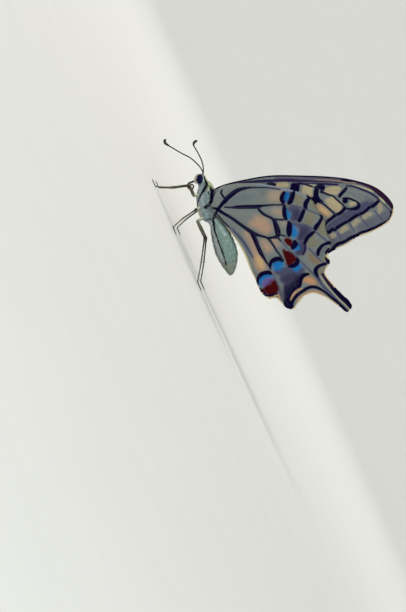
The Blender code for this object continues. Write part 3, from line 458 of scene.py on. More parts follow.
# Body stations: x, z, half height and half width of the skin, under the hair
BODY = (
    (-7.42, 0.6, 0.08, 0.1), (-7.3, 0.62, 0.42, 0.5), (-6.95, 0.62, 0.76, 0.9), (-6.5, 0.6, 0.95, 1.12),
    (-5.9, 0.56, 1.08, 1.25), (-5.4, 0.6, 1.16, 1.2), (-5.0, 0.66, 1.26, 1.02), (-4.6, 0.68, 1.48, 1.08),
    (-4.2, 0.52, 1.72, 1.25), (-3.7, 0.35, 1.94, 1.44), (-2.9, 0.1, 2.18, 1.62), (-1.2, -0.25, 2.46, 1.88),
    (0.0, -0.44, 2.6, 1.97), (1.3, -0.62, 2.55, 1.92), (2.2, -0.72, 2.24, 1.74), (2.9, -0.72, 1.8, 1.44),
    (3.5, -0.55, 1.46, 1.2), (4.3, -0.43, 1.42, 1.16), (5.2, -0.45, 1.68, 1.38), (6.6, -0.52, 2.04, 1.67),
    (8.6, -0.68, 2.35, 1.93), (10.8, -0.87, 2.48, 2.03), (12.6, -1.02, 2.25, 1.84),
    (14.2, -1.3, 1.73, 1.42), (15.5, -1.62, 1.08, 0.88), (16.3, -1.92, 0.52, 0.44),
    (16.55, -2.02, 0.12, 0.12))
WAIST = 3.4                     # x where the thorax meets the abdomen
ABDOMEN_END = 16.5
BODY_SEGMENTS = 8
BODY_PLAIN_ENDS = 0.02          # share of the abdomen's length without a groove at each end
GROOVE_SHARPNESS = 10
BODY_MARKS = {
    "ink": (
        # From behind the head down the front of the breast
        ((-6.7, 1.57, 0.1), (-5.86, 1.3, 0.18), (-4.5, 1.13, 0.38), (-3.7, 0.1, 0.3), (-2.7, -1.15, 0.18),
         (-1.6, -2.3, 0.12), (-0.2, -3.4, 0.14)),
        # Before the wing roots
        ((-3.8, 1.7, 0.25), (-2.65, 1.74, 0.4), (-1.7, 1.42, 0.45), (-0.9, 0.73, 0.38), (-0.3, 0.0, 0.3),
         (0.08, -1.15, 0.38)),
        ((-2.8, 0.84, 0.22), (-2.74, 0.84, 0.22)), ((0.1, -0.45, 0.05), (0.9, 0.42, 0.05)),
        ((-4.4, 1.4, 0.08), (-3.8, 1.62, 0.1), (-3.2, 1.88, 0.1)),
        ((2.85, -2.5, 0.05), (2.75, -1.6, 0.08), (3.0, -0.95, 0.12)),
        # Round the waist and along the side of the abdomen
        ((2.2, 0.6, 0.28), (2.65, -0.1, 0.28), (3.1, -0.55, 0.24), (3.42, -0.75, 0.24), (4.0, -0.85, 0.28),
         (4.78, -1.05, 0.22), (5.9, -1.35, 0.19), (7.1, -1.46, 0.17), (9.26, -1.63, 0.17),
         (11.2, -1.74, 0.17), (13.4, -2.03, 0.15), (13.7, -2.12, 0.2)),
        ((4.4, -1.95, 0.05), (7.0, -2.4, 0.06), (10.5, -3.0, 0.06), (13.4, -2.8, 0.04))),
    "pale": (((-0.6, -2.7, 0.2), (0.4, -2.9, 0.3), (1.2, -2.9, 0.2)),),
    "tegula": (((-3.5, 2.5, 0.12), (-3.3, 2.75, 0.16)),),
    # Painted light: paler patches on the abdomen's back and the thorax's side, where the wing casts its
    # shadow, to lift that shade
    "root": (((3.4, -0.4, 0.5), (5.0, 0.3, 0.5), (7.4, 0.5, 0.3)), ((1.0, 0.2, 0.1), (1.8, 0.2, 0.35))),
}

# Where one colour of the body changes to the next, as x
WAIST_CHANGE = (WAIST - 0.7, WAIST + 0.3)
COLLAR_START = (-6.2, -5.6)
COLLAR_END = (-2.9, -3.6)
STRIPE_START = (-3.6, -2.6)
TIP_CHANGE = (12.6, 14.8)
RING_START = (13.65, 13.8)
RING_END = (14.05, 13.9)

# The same round the body, as the crown: 1 along its top, 0 at its sides and -1 below
CREST_CROWN = (0.6, 0.95)
COLLAR_CROWN = (0.1, 0.6)
STRIPE_CROWN = (0.982, 0.994)
BREAST_CROWN = (-0.55, -0.95)
BELLY_CROWN = (-0.15, -0.6)

# Tufts of hair and flat scales: seven points each, the last of them the tip
TUFT_POINTS = 7
# How far along its tuft each point lies; the coat's finish paints shade at the roots by it
TUFT_SHARES = (0, 0, 0, 0.5, 0.5, 0.5, 1.0)
TUFT_HALF_WIDTHS = (0.5, 0.42)  # at the root and half way, of the width
TUFT_LENGTHS = (0.6, 1.2)
TUFT_WIDTHS = (0.7, 1.2)
TUFT_PATCH = 0.0015 * np.array(((-1, -1), (1, -1), (0, 1), (-1, 0), (1, 0), (0, 1), (0, 0.5)))
MAP_SHARE = 0.96
MAP_MARGIN = 0.02
COAT_JITTER = 0.22
COAT_SINK = 0.05
LIMB_JITTER = 0.15
LIMB_SINK = 0.03
LIMB_START = (0.31, 0.52, 0.79)  # any direction that no limb follows, to turn round it from
LIMB_SIDES = 16

# Eyes, feelers and mouthparts
EYE_CENTRE = (-6.26, 1.06, 0.32)
EYE_RADII = (1.1, 0.66, 0.72)
EYE_TILT = radians(31)
EYE_FACET = 0.045
EYE_CLEARING = (1.15, 0.85, 0.85)
EYE_ROWS = 40
EYE_COLUMNS = 72
FEELER_STEP = 0.07
FEELER_PINCH = 0.14
CLUB_SHARE = 0.82
CLUB_HASTE = 0.8                # how soon the club swells
CLUB_WAVE = 0.62                # half waves along the club; it is thickest at a half of one
CLUB_END = 0.45
CLUB_END_ROWS = 6
FEELERS = {
    "left": ((-6.5, 0.4, 0.9), (-7.3, 0.5, 1.5), (-8.5, 0.9, 1.52), (-10.0, 1.6, 1.06), (-11.5, 2.5, 0.34),
             (-13.4, 3.7, -1.15), (-15.1, 4.8, -2.36), (-16.2, 5.4, -3.1), (-16.8, 5.7, -3.38),
             (-17.26, 5.9, -3.18), (-17.36, 6.0, -2.85)),
    "right": ((-6.5, 0.4, 0.9), (-7.3, 0.5, 1.52), (-8.55, 1.3, 2.04), (-10.0, 2.7, 2.28),
              (-11.8, 4.4, 2.21), (-13.4, 6.0, 2.02), (-14.4, 7.0, 1.92), (-14.88, 7.5, 2.22),
              (-15.04, 7.75, 2.7), (-15.0, 7.8, 3.1)),
}
PALP = ((-5.9, 0.6, -0.2), (-6.05, 0.66, -0.85), (-6.6, 0.7, -0.75), (-7.05, 0.7, -0.45),
        (-7.3, 0.66, -0.05), (-7.42, 0.6, 0.35))
PALP_STEP = 0.06
PALP_RADII = (0.2, 0.1)
PROBOSCIS_ROOT = (-6.42, -0.2)
TONGUE_RADII = (0.24, 0.14)
TONGUE_RING = 0.12
TONGUE_PINCH = 0.1
LEAD_POINTS = 24
COIL_CENTRE = (-5.65, -2.2)
COIL_RADII = (0.85, 0.26)
COIL_TURNS = 1.25
COIL_POINTS = 150

# Legs, by the places of their joints
LEGS = {
    "leg_fore": ((-3.0, 0.7, -1.0), (-3.4, 1.3, -2.5), (-6.0, 3.3, -2.5), (-7.2, 4.6, -6.4),
                 (-8.6, 5.4, -9.34), (-10.2, 6.0, -9.36)),
    "leg_mid": ((-0.4, 0.8, -1.9), (-0.3, 1.9, -3.4), (-0.2, 5.2, -3.0), (0.5, 6.9, -6.6),
                (1.4, 7.8, -9.34), (3.0, 8.4, -9.36)),
    "leg_hind": ((1.9, 0.8, -2.4), (2.2, 1.8, -4.1), (6.4, 4.3, -4.0), (11.3, 6.3, -6.9),
                 (14.9, 7.2, -9.34), (16.8, 7.6, -9.36)),
}
# Stages count a leg's joints, from 0 at its root, over thigh, knee, ankle and foot, to 5 at its claws
LEG_RADII = (0.34, 0.28, 0.2, 0.16, 0.13, 0.09)
LEG_STEP = 0.09
THIGH_SWELL = 0.05
SHANK_SLIMNESS = 0.03
KNEES = ((2.0, 0.04, 0.06), (3.0, 0.03, 0.05))  # stage, height and width of each bulge
TARSAL_JOINTS = 5
TARSAL_PINCH = 0.2
HAIRY_STAGES = (0.3, 3.0)
SPUR_STAGE = 2.96
SPUR_LENGTH = 0.55
SPUR_SPREAD = 0.22
SPUR_RADIUS = 0.07
CLAW_LENGTH = 0.34
CLAW_SPREAD = 0.2
CLAW_DROP = 0.05
CLAW_RISE = 0.08
CLAW_RADIUS = 0.06
SPINE_POINTS = 9
SPINE_SIDES = 8
SPINE_TIP = 0.12                # share of the root's radius
SHANK_PROBE = 8                 # points beyond the ankle that the spurs' direction is taken over
TOE_PROBE = 6

# The middle of the photo's frame on the flat wing and the frame's long side, and the studio in metres
FRAME_MIDDLE = (-1.6, -23.0)
FRAME_HEIGHT = 139.5
FLOOR_RADIUS = 0.8
BACKDROP_BEND = 0.5


def shade(label, description, red, green, blue):
    """A colour setting, given as a screen's red, green and blue from 0 to 255 and kept as linear light."""
    linear = [((part / 255 + 0.055) / 1.055) ** 2.4 for part in (red, green, blue)]
    return FloatVectorProperty(name=label, description=description, subtype="COLOR", size=3, min=0.0,
                               max=1.0, default=linear)


def length(label, description, millimetres):
    return FloatProperty(name=label, description=description, subtype="DISTANCE", unit="LENGTH",
                         precision=5, min=0.0, default=millimetres * MM)


def tally(label, description, number, least=0):
    return IntProperty(name=label, description=description, default=number, min=least)


def lamp_power(label, description, watts):
    return FloatProperty(name=label, description=description, unit="POWER", default=watts)


class WingSettings(PropertyGroup):
    """Sizes and colours of the four wings."""
    ground: shade("Ground", "Thin pale scales between the marks", 113, 120, 118)
    shadow: shade("Shadow", "Cooler ground beside the veins", 97, 109, 115)
    # Painted shade laid about the hindwing's root
    mist: shade("Mist", "Cooler ground near the root", 98, 107, 113)
    sea: shade("Blue grey", "Dusting towards the outer margin", 92, 96, 106)
    # Sand, amber and honey: painted light, the warm glow where sunlight shines through the wing
    sand: shade("Sand", "Warm ground in the outer cells", 150, 136, 119)
    amber: shade("Amber", "Warm flush in the cell and along the inner veins", 164, 136, 114)
    pale: shade("Pale spots", "Olive ground towards the margin of the hindwing", 117, 115, 98)
    honey: shade("Honey", "Brighter middle of two flushes", 186, 157, 112)
    ochre: shade("Ochre", "Flush before the tail", 182, 134, 97)
    dun: shade("Dun", "Brown ground of the fourth cell", 120, 105, 86)
    cream: shade("Cream", "Spots of the forewing", 162, 151, 122)
    lilac: shade("Lilac", "Front edge of the forewing", 87, 82, 96)
    haze: shade("Haze", "Grey dusting of the outer band", 69, 71, 95)
    dust: shade("Dust", "Darker middle of the dusting", 54, 51, 76)
    navy: shade("Navy", "Darkest dusting, beside the tail", 24, 22, 50)
    plum: shade("Plum", "Dark stripes beside the front edge", 34, 16, 62)
    # The black border of the tip, with a painted brown glow of light shining through it
    umber: shade("Umber", "Border of the forewing's tip", 38, 20, 44)
    steel: shade("Steel", "Front rim of the hindwing", 117, 125, 148)
    slate: shade("Slate", "Thin veins in the pale ground", 74, 76, 102)
    lunule: shade("Half moons", "Spots along the margin of the forewing", 148, 140, 119)
    cobalt: shade("Cobalt", "Darker blue of the first cell", 12, 76, 143)
    blue: shade("Blue", "Blue scales inside the band", 18, 107, 172)
    violet: shade("Violet", "Middle of the eyespot", 96, 84, 146)
    wine: shade("Wine", "Between violet and red in the eyespot", 88, 44, 90)
    red: shade("Red", "Dark red spots", 64, 4, 9)
    ink: shade("Black", "Veins, bars and borders", 6, 1, 40)
    rust: shade("Rust", "Pink brown edges of the scallops", 166, 134, 106)
    # Pale streaks, partly painted highlight where the wing's edges catch the light
    light: shade("Light scales", "Bright streaks over the black", 196, 186, 144)
    # The fringe is pale, and this colour is lighter still: painted glow of light shining through it from
    # behind
    fringe: shade("Fringe", "Pale fringe of the outer margins", 228, 208, 166)
    grid: length("Grid", "Distance between the points of a wing's surface", 0.2)
    membrane: length("Membrane", "Half thickness of a wing between its veins", 0.08)
    vein: length("Vein height", "How far a vein stands out of each face", 0.07)
    vein_width: length("Vein width", "Half width of a vein's ridge", 0.16)
    pleat: length("Pleat", "How far a cell bows out between its veins", 0.1)
    inset: length("Inset", "How far the membrane stops inside the fringe's tips", 0.28)
    fringe_pitch: length("Fringe pitch", "Distance between fringe scales", 0.03)


class BodySettings(PropertyGroup):
    """Sizes and colours of the body and its hair."""
    side: shade("Side", "Pale hair on the sides of the thorax", 154, 176, 177)
    crest: shade("Crest", "Yellow green hair of the collar", 220, 236, 186)
    breast: shade("Breast", "Lilac grey hair under the head and thorax", 194, 197, 206)
    coxa: shade("Leg roots", "Cream hair about the roots of the legs", 226, 222, 204)
    tegula: shade("Shoulder", "Orange tuft before the forewing", 226, 172, 110)
    # Painted light that lifts the wing's shadow on the body beside the wing root
    root: shade("Root", "Paler scales where the abdomen leaves the thorax", 206, 232, 226)
    abdomen: shade("Abdomen", "Green grey scales of the abdomen", 148, 175, 167)
    # The underside is pale, and this colour is lighter still: painted light that makes up for the shade it
    # gets facing down
    belly: shade("Belly", "Underside of the abdomen", 202, 212, 211)
    tip: shade("Tip", "End of the abdomen", 162, 173, 158)
    ink: shade("Black", "Stripes and bands", 9, 3, 40)
    ring: length("Ring step", "Distance between the rings of the skin", 0.09)
    sides: tally("Sides", "Points round each ring", 72, least=12)
    groove: FloatProperty(name="Groove", description="Depth between segments, of the radius", default=0.035)
    thorax_tufts: tally("Thorax tufts", "Number of them", 14000)
    head_tufts: tally("Head tufts", "Number of them", 4500)
    collar_tufts: tally("Collar tufts", "Number of them", 7000)
    waist_tufts: tally("Waist tufts", "Number of them", 1500)
    abdomen_tufts: tally("Abdomen tufts", "Number of them", 15000)
    hair: length("Hair", "Length of the thorax's hair", 0.9)
    hair_width: length("Hair width", "Width of a tuft at its root", 0.05)


class LimbSettings(PropertyGroup):
    """Sizes and colours of the eyes, feelers, mouthparts and legs."""
    eye: shade("Eye", "Glossy faceted dome", 10, 4, 52)
    feeler: shade("Feeler", "Shaft of the feelers", 54, 44, 38)
    club: shade("Club", "Dark club and rings", 20, 16, 20)
    palp: shade("Palp", "Hairy palps", 214, 206, 192)
    straw: shade("Straw", "Scales of the legs", 84, 82, 62)
    hip: shade("Hip", "Pale hair at the roots of the legs", 176, 184, 160)
    feeler_radius: length("Feeler radius", "Half thickness of a feeler", 0.15)
    club_radius: length("Club radius", "Half thickness of its club", 0.33)
    ring: length("Ring", "Length of one ring of a feeler", 0.4)
    palp_tufts: tally("Palp tufts", "Number on each palp", 1100)
    leg_tufts: tally("Leg tufts", "Number on each leg", 900)


class StageSettings(PropertyGroup):
    """The plain studio."""
    floor: shade("Floor", "Colour of floor and backdrop", 208, 208, 203)
    distance: length("Distance", "From the camera to the insect", 600.0)
    elevation: FloatProperty(name="Elevation", description="Of the camera, above the horizon",
                             subtype="ANGLE", default=radians(3))
    key: lamp_power("Key light", "Power of the light above the head", 2.2)
    fill: lamp_power("Fill light", "Power of the light beside the camera", 1.55)
    wash: lamp_power("Wash light", "Power of the light on the backdrop", 6.0)
    sky: FloatProperty(name="Sky", description="Strength of the light from all round", default=0.54)


class Socket:
    """A shader value that Python's operators can be used on."""

    def __init__(self, graph, output):
        self.graph = graph
        self.output = output

    def maths(self, operation, first, second):
        return self.graph.node("ShaderNodeMath", {"operation": operation}, {0: first, 1: second})

    def __add__(self, other):
        return self.maths("ADD", self, other)

    def __sub__(self, other):
        return self.maths("SUBTRACT", self, other)

    def __rsub__(self, other):
        return self.maths("SUBTRACT", other, self)

    def __mul__(self, other):
        return self.maths("MULTIPLY", self, other)

    __radd__ = __add__
    __rmul__ = __mul__


class Finish:
    """A material and the nodes that make it."""

    def __init__(self, name, roughness, specular, coat=0.0):
        self.material = bpy.data.materials.new(name)
        self.material.use_nodes = True
        self.tree = self.material.node_tree
        self.shader = self.tree.nodes["Principled BSDF"]
        self.shader.inputs["Roughness"].default_value = roughness
        self.shader.inputs["Specular IOR Level"].default_value = specular
        self.shader.inputs["Coat Weight"].default_value = coat

    def node(self, kind, settings=None, values=None, output=0):
        """Adds a node: its settings first, then the values or links of its sockets."""
        made = self.tree.nodes.new(kind)
        for name, setting in (settings or {}).items():
            setattr(made, name, setting)
        for name, value in (values or {}).items():
            if isinstance(value, Socket):
                self.tree.links.new(value.output, made.inputs[name])
            else:
                made.inputs[name].default_value = value
        return Socket(self, made.outputs[output])

    def feed(self, name, value):
        self.tree.links.new(value.output, self.shader.inputs[name])

    def mix(self, share, first, second, blend="MIX"):
        values = {0: share}
        for socket, colour in ((6, first), (7, second)):
            values[socket] = colour if isinstance(colour, Socket) else (*colour, 1.0)
        return self.node("ShaderNodeMix", {"data_type": "RGBA", "blend_type": blend}, values, 2)

    def attribute(self, name, output="Fac"):
        return self.node("ShaderNodeAttribute", {"attribute_name": name}, output=output)

    def place(self):
        return self.node("ShaderNodeTexCoord", output="Object")

    def noise(self, place, scale, detail=2.0, rough=0.5):
        values = {"Vector": place, "Scale": scale, "Detail": detail, "Roughness": rough}
        return self.node("ShaderNodeTexNoise", {}, values, "Fac")

    def cells(self, place, scale):
        """Distance to the middle of the nearest of many small cells."""
        return self.node("ShaderNodeTexVoronoi", {"feature": "F1"}, {"Vector": place, "Scale": scale},
                         "Distance")

    def step(self, value, low, high):
        """0 up to low and 1 from high on, smooth between; low may be the larger."""
        values = {"Value": value, "From Min": low, "From Max": high}
        return self.node("ShaderNodeMapRange", {"interpolation_type": "SMOOTHSTEP"}, values)

    def shaded(self, colour, share, dark, bright):
        """The colour times a grey that runs from dark to bright with share."""
        return self.mix(1.0, colour, self.mix(share, (dark,) * 3, (bright,) * 3), "MULTIPLY")

    def bump(self, height, distance, strength=1.0):
        values = {"Strength": strength, "Distance": distance * MM, "Height": height}
        self.feed("Normal", self.node("ShaderNodeBump", {}, values, "Normal"))

    def grained(self, colour, grain, dark, bright, distance):
        """The finished material: its colour shaded by the grain, which also stands up by the distance."""
        self.feed("Base Color", self.shaded(colour, grain, dark, bright))
        self.bump(grain, distance)
        return self.material


def between(a, b, start, end, value):
    """The straight run from a at start to b at end, read at value."""
    return a * ((end - value) / (end - start)) + b * ((value - start) / (end - start))


def smooth_line(controls, step, closed=False):
    """A smooth line through all the controls, with a point about every step."""
    knots = np.array(controls, float)
    if closed:
        knots = np.vstack((knots[-1:], knots, knots[:2]))
    else:
        knots = np.vstack((2 * knots[0] - knots[1], knots, 2 * knots[-1] - knots[-2]))
    line = []
    for p0, p1, p2, p3 in zip(knots, knots[1:], knots[2:], knots[3:]):
        count = max(1, ceil(np.linalg.norm(p2 - p1) / step))
        t1, t2, t3 = np.cumsum([np.sqrt(np.linalg.norm(b - a)) for a, b in ((p0, p1), (p1, p2), (p2, p3))])
        t = t1 + (t2 - t1) * np.arange(count)[:, None] / count
        a1 = between(p0, p1, 0.0, t1, t)
        a2 = between(p1, p2, t1, t2, t)
        a3 = between(p2, p3, t2, t3, t)
        b1 = between(a1, a2, 0.0, t2, t)
        b2 = between(a2, a3, t1, t3, t)
        line.append(between(b1, b2, t1, t2, t))
    if not closed:
        line.append(knots[-2:-1])
    return np.vstack(line)


def steps_along(path):
    """How far along the path each of its points lies."""
    return np.concatenate(([0.0], np.cumsum(np.linalg.norm(np.diff(path, axis=0), axis=1))))


def read_rows(spots, steps, rows):
    """The rows, which lie at the steps along a line, read at the spots between them."""
    return np.column_stack([np.interp(spots, steps, column) for column in np.transpose(rows)])


def unit(vectors):
    return vectors / np.maximum(np.linalg.norm(vectors, axis=-1, keepdims=True), 1e-9)


def world(places):
    """World places, in metres, of points given in millimetres from the body point."""
    return (np.asarray(places, float) + (BODY_X, 0.0, BODY_Z)) * MM


def distance(places, lines, far=FAR):
    """Distance of each place to the nearest line's edge, negative inside; a line is rows of x, y, radius."""
    nearest = np.full(len(places), far)
    for line in lines:
        for (ax, ay, ar), (bx, by, br) in zip(line, line[1:]):
            reach = far + max(ar, br)
            near = np.flatnonzero(
                (places[:, 0] > min(ax, bx) - reach) & (places[:, 0] < max(ax, bx) + reach)
                & (places[:, 1] > min(ay, by) - reach) & (places[:, 1] < max(ay, by) + reach))
            if not len(near):
                continue
            along = np.array((bx - ax, by - ay))
            offset = places[near] - (ax, ay)
            share = np.clip(offset @ along / max(along @ along, 1e-12), 0.0, 1.0)
            away = np.linalg.norm(offset - share[:, None] * along, axis=1) - (ar + share * (br - ar))
            nearest[near] = np.minimum(nearest[near], away)
    return nearest


def stroke_lines(strokes, step=STROKE_STEP):
    return [smooth_line(stroke, step) for stroke in strokes]


def thin_line(controls, step):
    """A smooth line of no width."""
    line = smooth_line(controls, step)
    return np.column_stack((line, np.zeros(len(line))))


def inside(places, rim):
    """Whether each place lies within the closed rim."""
    x, y = places.T
    within = np.zeros(len(places), bool)
    for (ax, ay), (bx, by) in zip(rim, np.roll(rim, -1, axis=0)):
        if ay != by:
            within ^= ((ay > y) != (by > y)) & (x < (bx - ax) * (y - ay) / (by - ay) + ax)
    return within


def outward(rim):
    """Unit vectors that point out of the closed rim, at each of its points."""
    along = unit(np.roll(rim, -1, axis=0) - np.roll(rim, 1, axis=0))
    x, y = rim.T
    turn = np.sign(np.sum(x * np.roll(y, -1) - y * np.roll(x, -1)))
    return np.column_stack((along[:, 1], -along[:, 0])) * turn


def add_object(name, data):
    """A new object of the scene that holds the data."""
    made = bpy.data.objects.new(name, data)
    bpy.context.scene.collection.objects.link(made)
    return made


def add_piece(name, places, faces, material, replaced=()):
    """A smooth mesh piece in metres that rides on the body and stands for the replaced solids."""
    mesh = bpy.data.meshes.new(name)
    mesh.from_pydata(places.tolist(), [], faces)
    mesh.update()
    mesh.materials.append(material)
    mesh.shade_smooth()
    piece = add_object(name, mesh)
    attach(piece, "root")
    if replaced:
        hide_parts(*replaced)
    return piece


def ring_faces(rings, sides, first=0):
    """Faces between rings of points; first is the number of their first point."""
    faces = []
    for ring in range(rings - 1):
        for index in range(sides):
            a = first + ring * sides + index
            b = first + ring * sides + (index + 1) % sides
            faces.append((a, a + sides, b + sides, b))
    return faces


def closed_faces(rings, sides):
    """Faces of rings of points and of the two poles that come after them and close their ends."""
    faces = ring_faces(rings, sides)
    pole = rings * sides
    last = pole - sides
    for index in range(sides):
        after = (index + 1) % sides
        faces.append((pole, index, after))
        faces.append((pole + 1, last + after, last + index))
    return faces


def store(piece, name, values):
    """Keeps one number or vector for each point of the piece, for its material."""
    values = np.asarray(values, np.float32)
    kind, key = ("FLOAT", "value") if values.ndim == 1 else ("FLOAT_VECTOR", "vector")
    piece.data.attributes.new(name, kind, "POINT").data.foreach_set(key, values.ravel())


def store_map(piece, name, places):
    """A UV map with one place for each point."""
    mesh = piece.data
    corners = np.zeros(len(mesh.loops), np.int32)
    mesh.loops.foreach_get("vertex_index", corners)
    mesh.uv_layers.new(name=name).data.foreach_set("uv", places[corners].astype(np.float32).ravel())


def tufts(roots, lies, normals, lengths, widths, bend=0.35, flat=0.55):
    """Closed tapered blades of three sides that start along their lie and bend towards the surface."""
    across = unit(np.cross(lies, normals))
    lengths = lengths[:, None]
    widths = widths[:, None]
    middle = roots + lies * lengths * 0.5
    tips = roots + (lies - normals * bend) * lengths
    corners = []
    for centre, size in zip((roots, middle), TUFT_HALF_WIDTHS):
        corners += [centre + across * widths * size, centre - across * widths * size,
                    centre + normals * widths * flat * size * 2]
    places = np.stack(corners + [tips], axis=1)
    shape = [(2, 1, 0), (0, 1, 4), (0, 4, 3), (1, 2, 5), (1, 5, 4), (2, 0, 3), (2, 3, 5),
             (3, 4, 6), (4, 5, 6), (5, 3, 6)]
    faces = (np.arange(len(roots))[:, None, None] * TUFT_POINTS + np.array(shape)[None]).reshape(-1, 3)
    return places.reshape(-1, 3), faces.tolist()


def tuft_map(roots):
    """A small patch of the map for each tuft, about its root's place on the unwrapped skin, from 0 to 1."""
    return ((roots * MAP_SHARE + MAP_MARGIN)[:, None] + TUFT_PATCH[None]).reshape(-1, 2)


def wing_places(plan, outs, plane, side):
    """Body places of points of the flat wing that stand outs off its middle."""
    splay = ROOT_SPLAY * np.exp(-np.sum(plan ** 2, axis=1) / ROOT_REACH ** 2)
    x = plan[:, 0] * cos(WING_TURN) - plan[:, 1] * sin(WING_TURN)
    z = plan[:, 0] * sin(WING_TURN) + plan[:, 1] * cos(WING_TURN)
    return np.column_stack((x, side * (plane + splay + outs), z))


DrawnWing = namedtuple("DrawnWing", "plan faces rim found")


def rim_ends(rim, ends):
    """Which points of the rim lie nearest to the two ends."""
    return [int(np.argmin(np.sum((rim - end) ** 2, axis=1))) for end in ends]


def fringed(rim, ends):
    """1 along the part of the rim that carries a fringe, 0 elsewhere, with a soft change between."""
    first, last = rim_ends(rim, ends)
    share = np.zeros(len(rim))
    share[first:last + 1] = 1.0
    for _ in range(FRINGE_SOFTENING):
        share = (np.roll(share, 1) + share + np.roll(share, -1)) / 3.0
    return share


def wing_plan(outline, veins, marks, fringe, settings):
    """The flat wing: its points, triangles, rim, and each point's distances to rim, veins and marks."""
    step = settings.grid / MM
    full_rim = smooth_line(outline, step, closed=True)
    rim = full_rim - outward(full_rim) * fringed(full_rim, fringe)[:, None] * settings.inset / MM
    low = rim.min(axis=0)
    high = rim.max(axis=0)
    x, y = np.meshgrid(np.arange(low[0], high[0], step), np.arange(low[1], high[1], step * ROW_SHARE))
    x[::2] += step / 2
    lattice = np.column_stack((x.ravel(), y.ravel()))
    fine = [stroke for strokes in marks.values() for stroke in strokes
            if max(row[2] for row in stroke) < FINE_MARK]
    followed = np.vstack([line[:, :2] for line in stroke_lines(fine, step * FOLLOW_SHARE)])
    loose = np.vstack((followed, lattice))
    loose = loose[inside(loose, rim)]
    edge = np.column_stack((np.vstack((rim, rim[:1])), np.zeros(len(rim) + 1)))
    loose = loose[distance(loose, [edge]) > step * RIM_SHARE]
    _, first = np.unique(np.round(loose / (step * MERGE_SHARE)), axis=0, return_index=True)
    loose = loose[np.sort(first)]
    corners = [Vector(place) for place in np.vstack((rim, loose))]
    places, _, faces, _, _, _ = delaunay_2d_cdt(corners, [], [list(range(len(rim)))], 1, 1e-5)
    plan = np.array(places)
    vein_lines = [thin_line(vein, VEIN_STEP) for vein in veins.values()]
    found = {"rim": distance(plan, [edge]), "vein": distance(plan, vein_lines)}
    for paint in PAINTS:
        found[paint] = distance(plan, stroke_lines(marks.get(paint, ())))
    return DrawnWing(plan, [tuple(face) for face in faces], full_rim, found)


def add_wing(name, drawn, plane, side, settings, material):
    """Both faces of one wing, joined round the rim."""
    plan, faces, _, found = drawn
    count = len(plan)
    ridge = settings.vein / MM * np.exp(-(found["vein"] / (settings.vein_width / MM)) ** 2)
    bow = 1.0 - np.exp(-(found["vein"] / PLEAT_REACH) ** 2)
    bow = settings.pleat / MM * bow * np.clip(found["rim"], 0.0, 1.0)
    thick = RIM_THICKNESS + (1.0 - RIM_THICKNESS) * np.clip(found["rim"] / RIM_TAPER, 0.0, 1.0)
    half = settings.membrane / MM * thick + ridge
    outer = wing_places(plan, bow + half, plane, side)
    inner = wing_places(plan, bow - half, plane, side)
    edges = {pair: True for a, b, c in faces for pair in ((a, b), (b, c), (c, a))}
    rim = [(a, b) for a, b in edges if (b, a) not in edges]
    skin = [*faces, *[(c + count, b + count, a + count) for a, b, c in faces],
            *[(b, a, a + count, b + count) for a, b in rim]]
    if side < 0:
        skin = [face[::-1] for face in skin]
    piece = add_piece(name + "_skin", world(np.vstack((outer, inner))), skin, material, (name,))
    for mark in (*PAINTS, "vein"):
        store(piece, mark, np.tile(found[mark], 2))
    store(piece, "plan", np.tile(np.column_stack((plan, np.full(count, float(side)))), (2, 1)))


def rim_stretch(rim, ends):
    """The part of the rim from near the first end to near the second."""
    first, last = rim_ends(rim, ends)
    return rim[first:last + 1] if first < last else np.vstack((rim[first:], rim[:last + 1]))


def add_fringe(name, drawn, ends, plane, side, settings, material, draw):
    """Narrow scales that stand out of the wing's outer margin."""
    stretch = rim_stretch(drawn.rim, ends)
    along = unit(np.gradient(stretch, axis=0))
    out = np.column_stack((along[:, 1], -along[:, 0]))
    half_way = len(stretch) // 2
    if inside(np.array([stretch[half_way] + out[half_way] * FRINGE_PROBE]), drawn.rim)[0]:
        out = -out
    steps = steps_along(stretch)
    count = int(steps[-1] / (settings.fringe_pitch / MM)) * 2
    spots = np.sort(draw.uniform(0.0, steps[-1], count))
    base, lean, trail = [read_rows(spots, steps, rows) for rows in (stretch, out, along)]
    inset = settings.inset / MM
    base -= lean * (inset + FRINGE_SINK)
    lean = unit(lean + trail * draw.normal(0.0, FRINGE_SPRAY, (count, 1)))
    beat = np.sin(spots * FRINGE_BEATS[0]) * np.sin(spots * FRINGE_BEATS[1])
    wave = 1.0 - FRINGE_WAVE + FRINGE_WAVE * beat
    lengths = (inset + FRINGE_SINK) * wave * draw.uniform(*FRINGE_LENGTHS, count)
    flat = np.zeros(count)
    roots = wing_places(base, draw.normal(0.0, FRINGE_LIFT, count), plane, side)
    ahead = wing_places(base + lean * FRINGE_PROBE, flat, plane, side) - wing_places(base, flat, plane, side)
    lies = unit(ahead) + np.column_stack((flat, side * draw.normal(0.0, FRINGE_TILT, count), flat))
    normals = np.tile((0.0, float(side), 0.0), (count, 1))
    widths = draw.uniform(*FRINGE_WIDTHS, count)
    places, faces = tufts(roots, lies, normals, lengths, widths, bend=0.0, flat=FRINGE_FLATNESS)
    piece = add_piece(name + "_fringe", world(places), faces, material)
    store(piece, "dark", np.repeat(fringe_dark(base + lean * inset, drawn), TUFT_POINTS))
    dim = np.clip((base[:, 1] - FRINGE_DIM_Y) / FRINGE_DIM_SPAN, 0.0, 1.0) * (plane > FOREWING_PLANE)
    store(piece, "dim", np.repeat(dim, TUFT_POINTS))
    low = drawn.rim.min(axis=0)
    size = (drawn.rim.max(axis=0) - low).max()
    store_map(piece, "OFBake", tuft_map((base - low) / size))


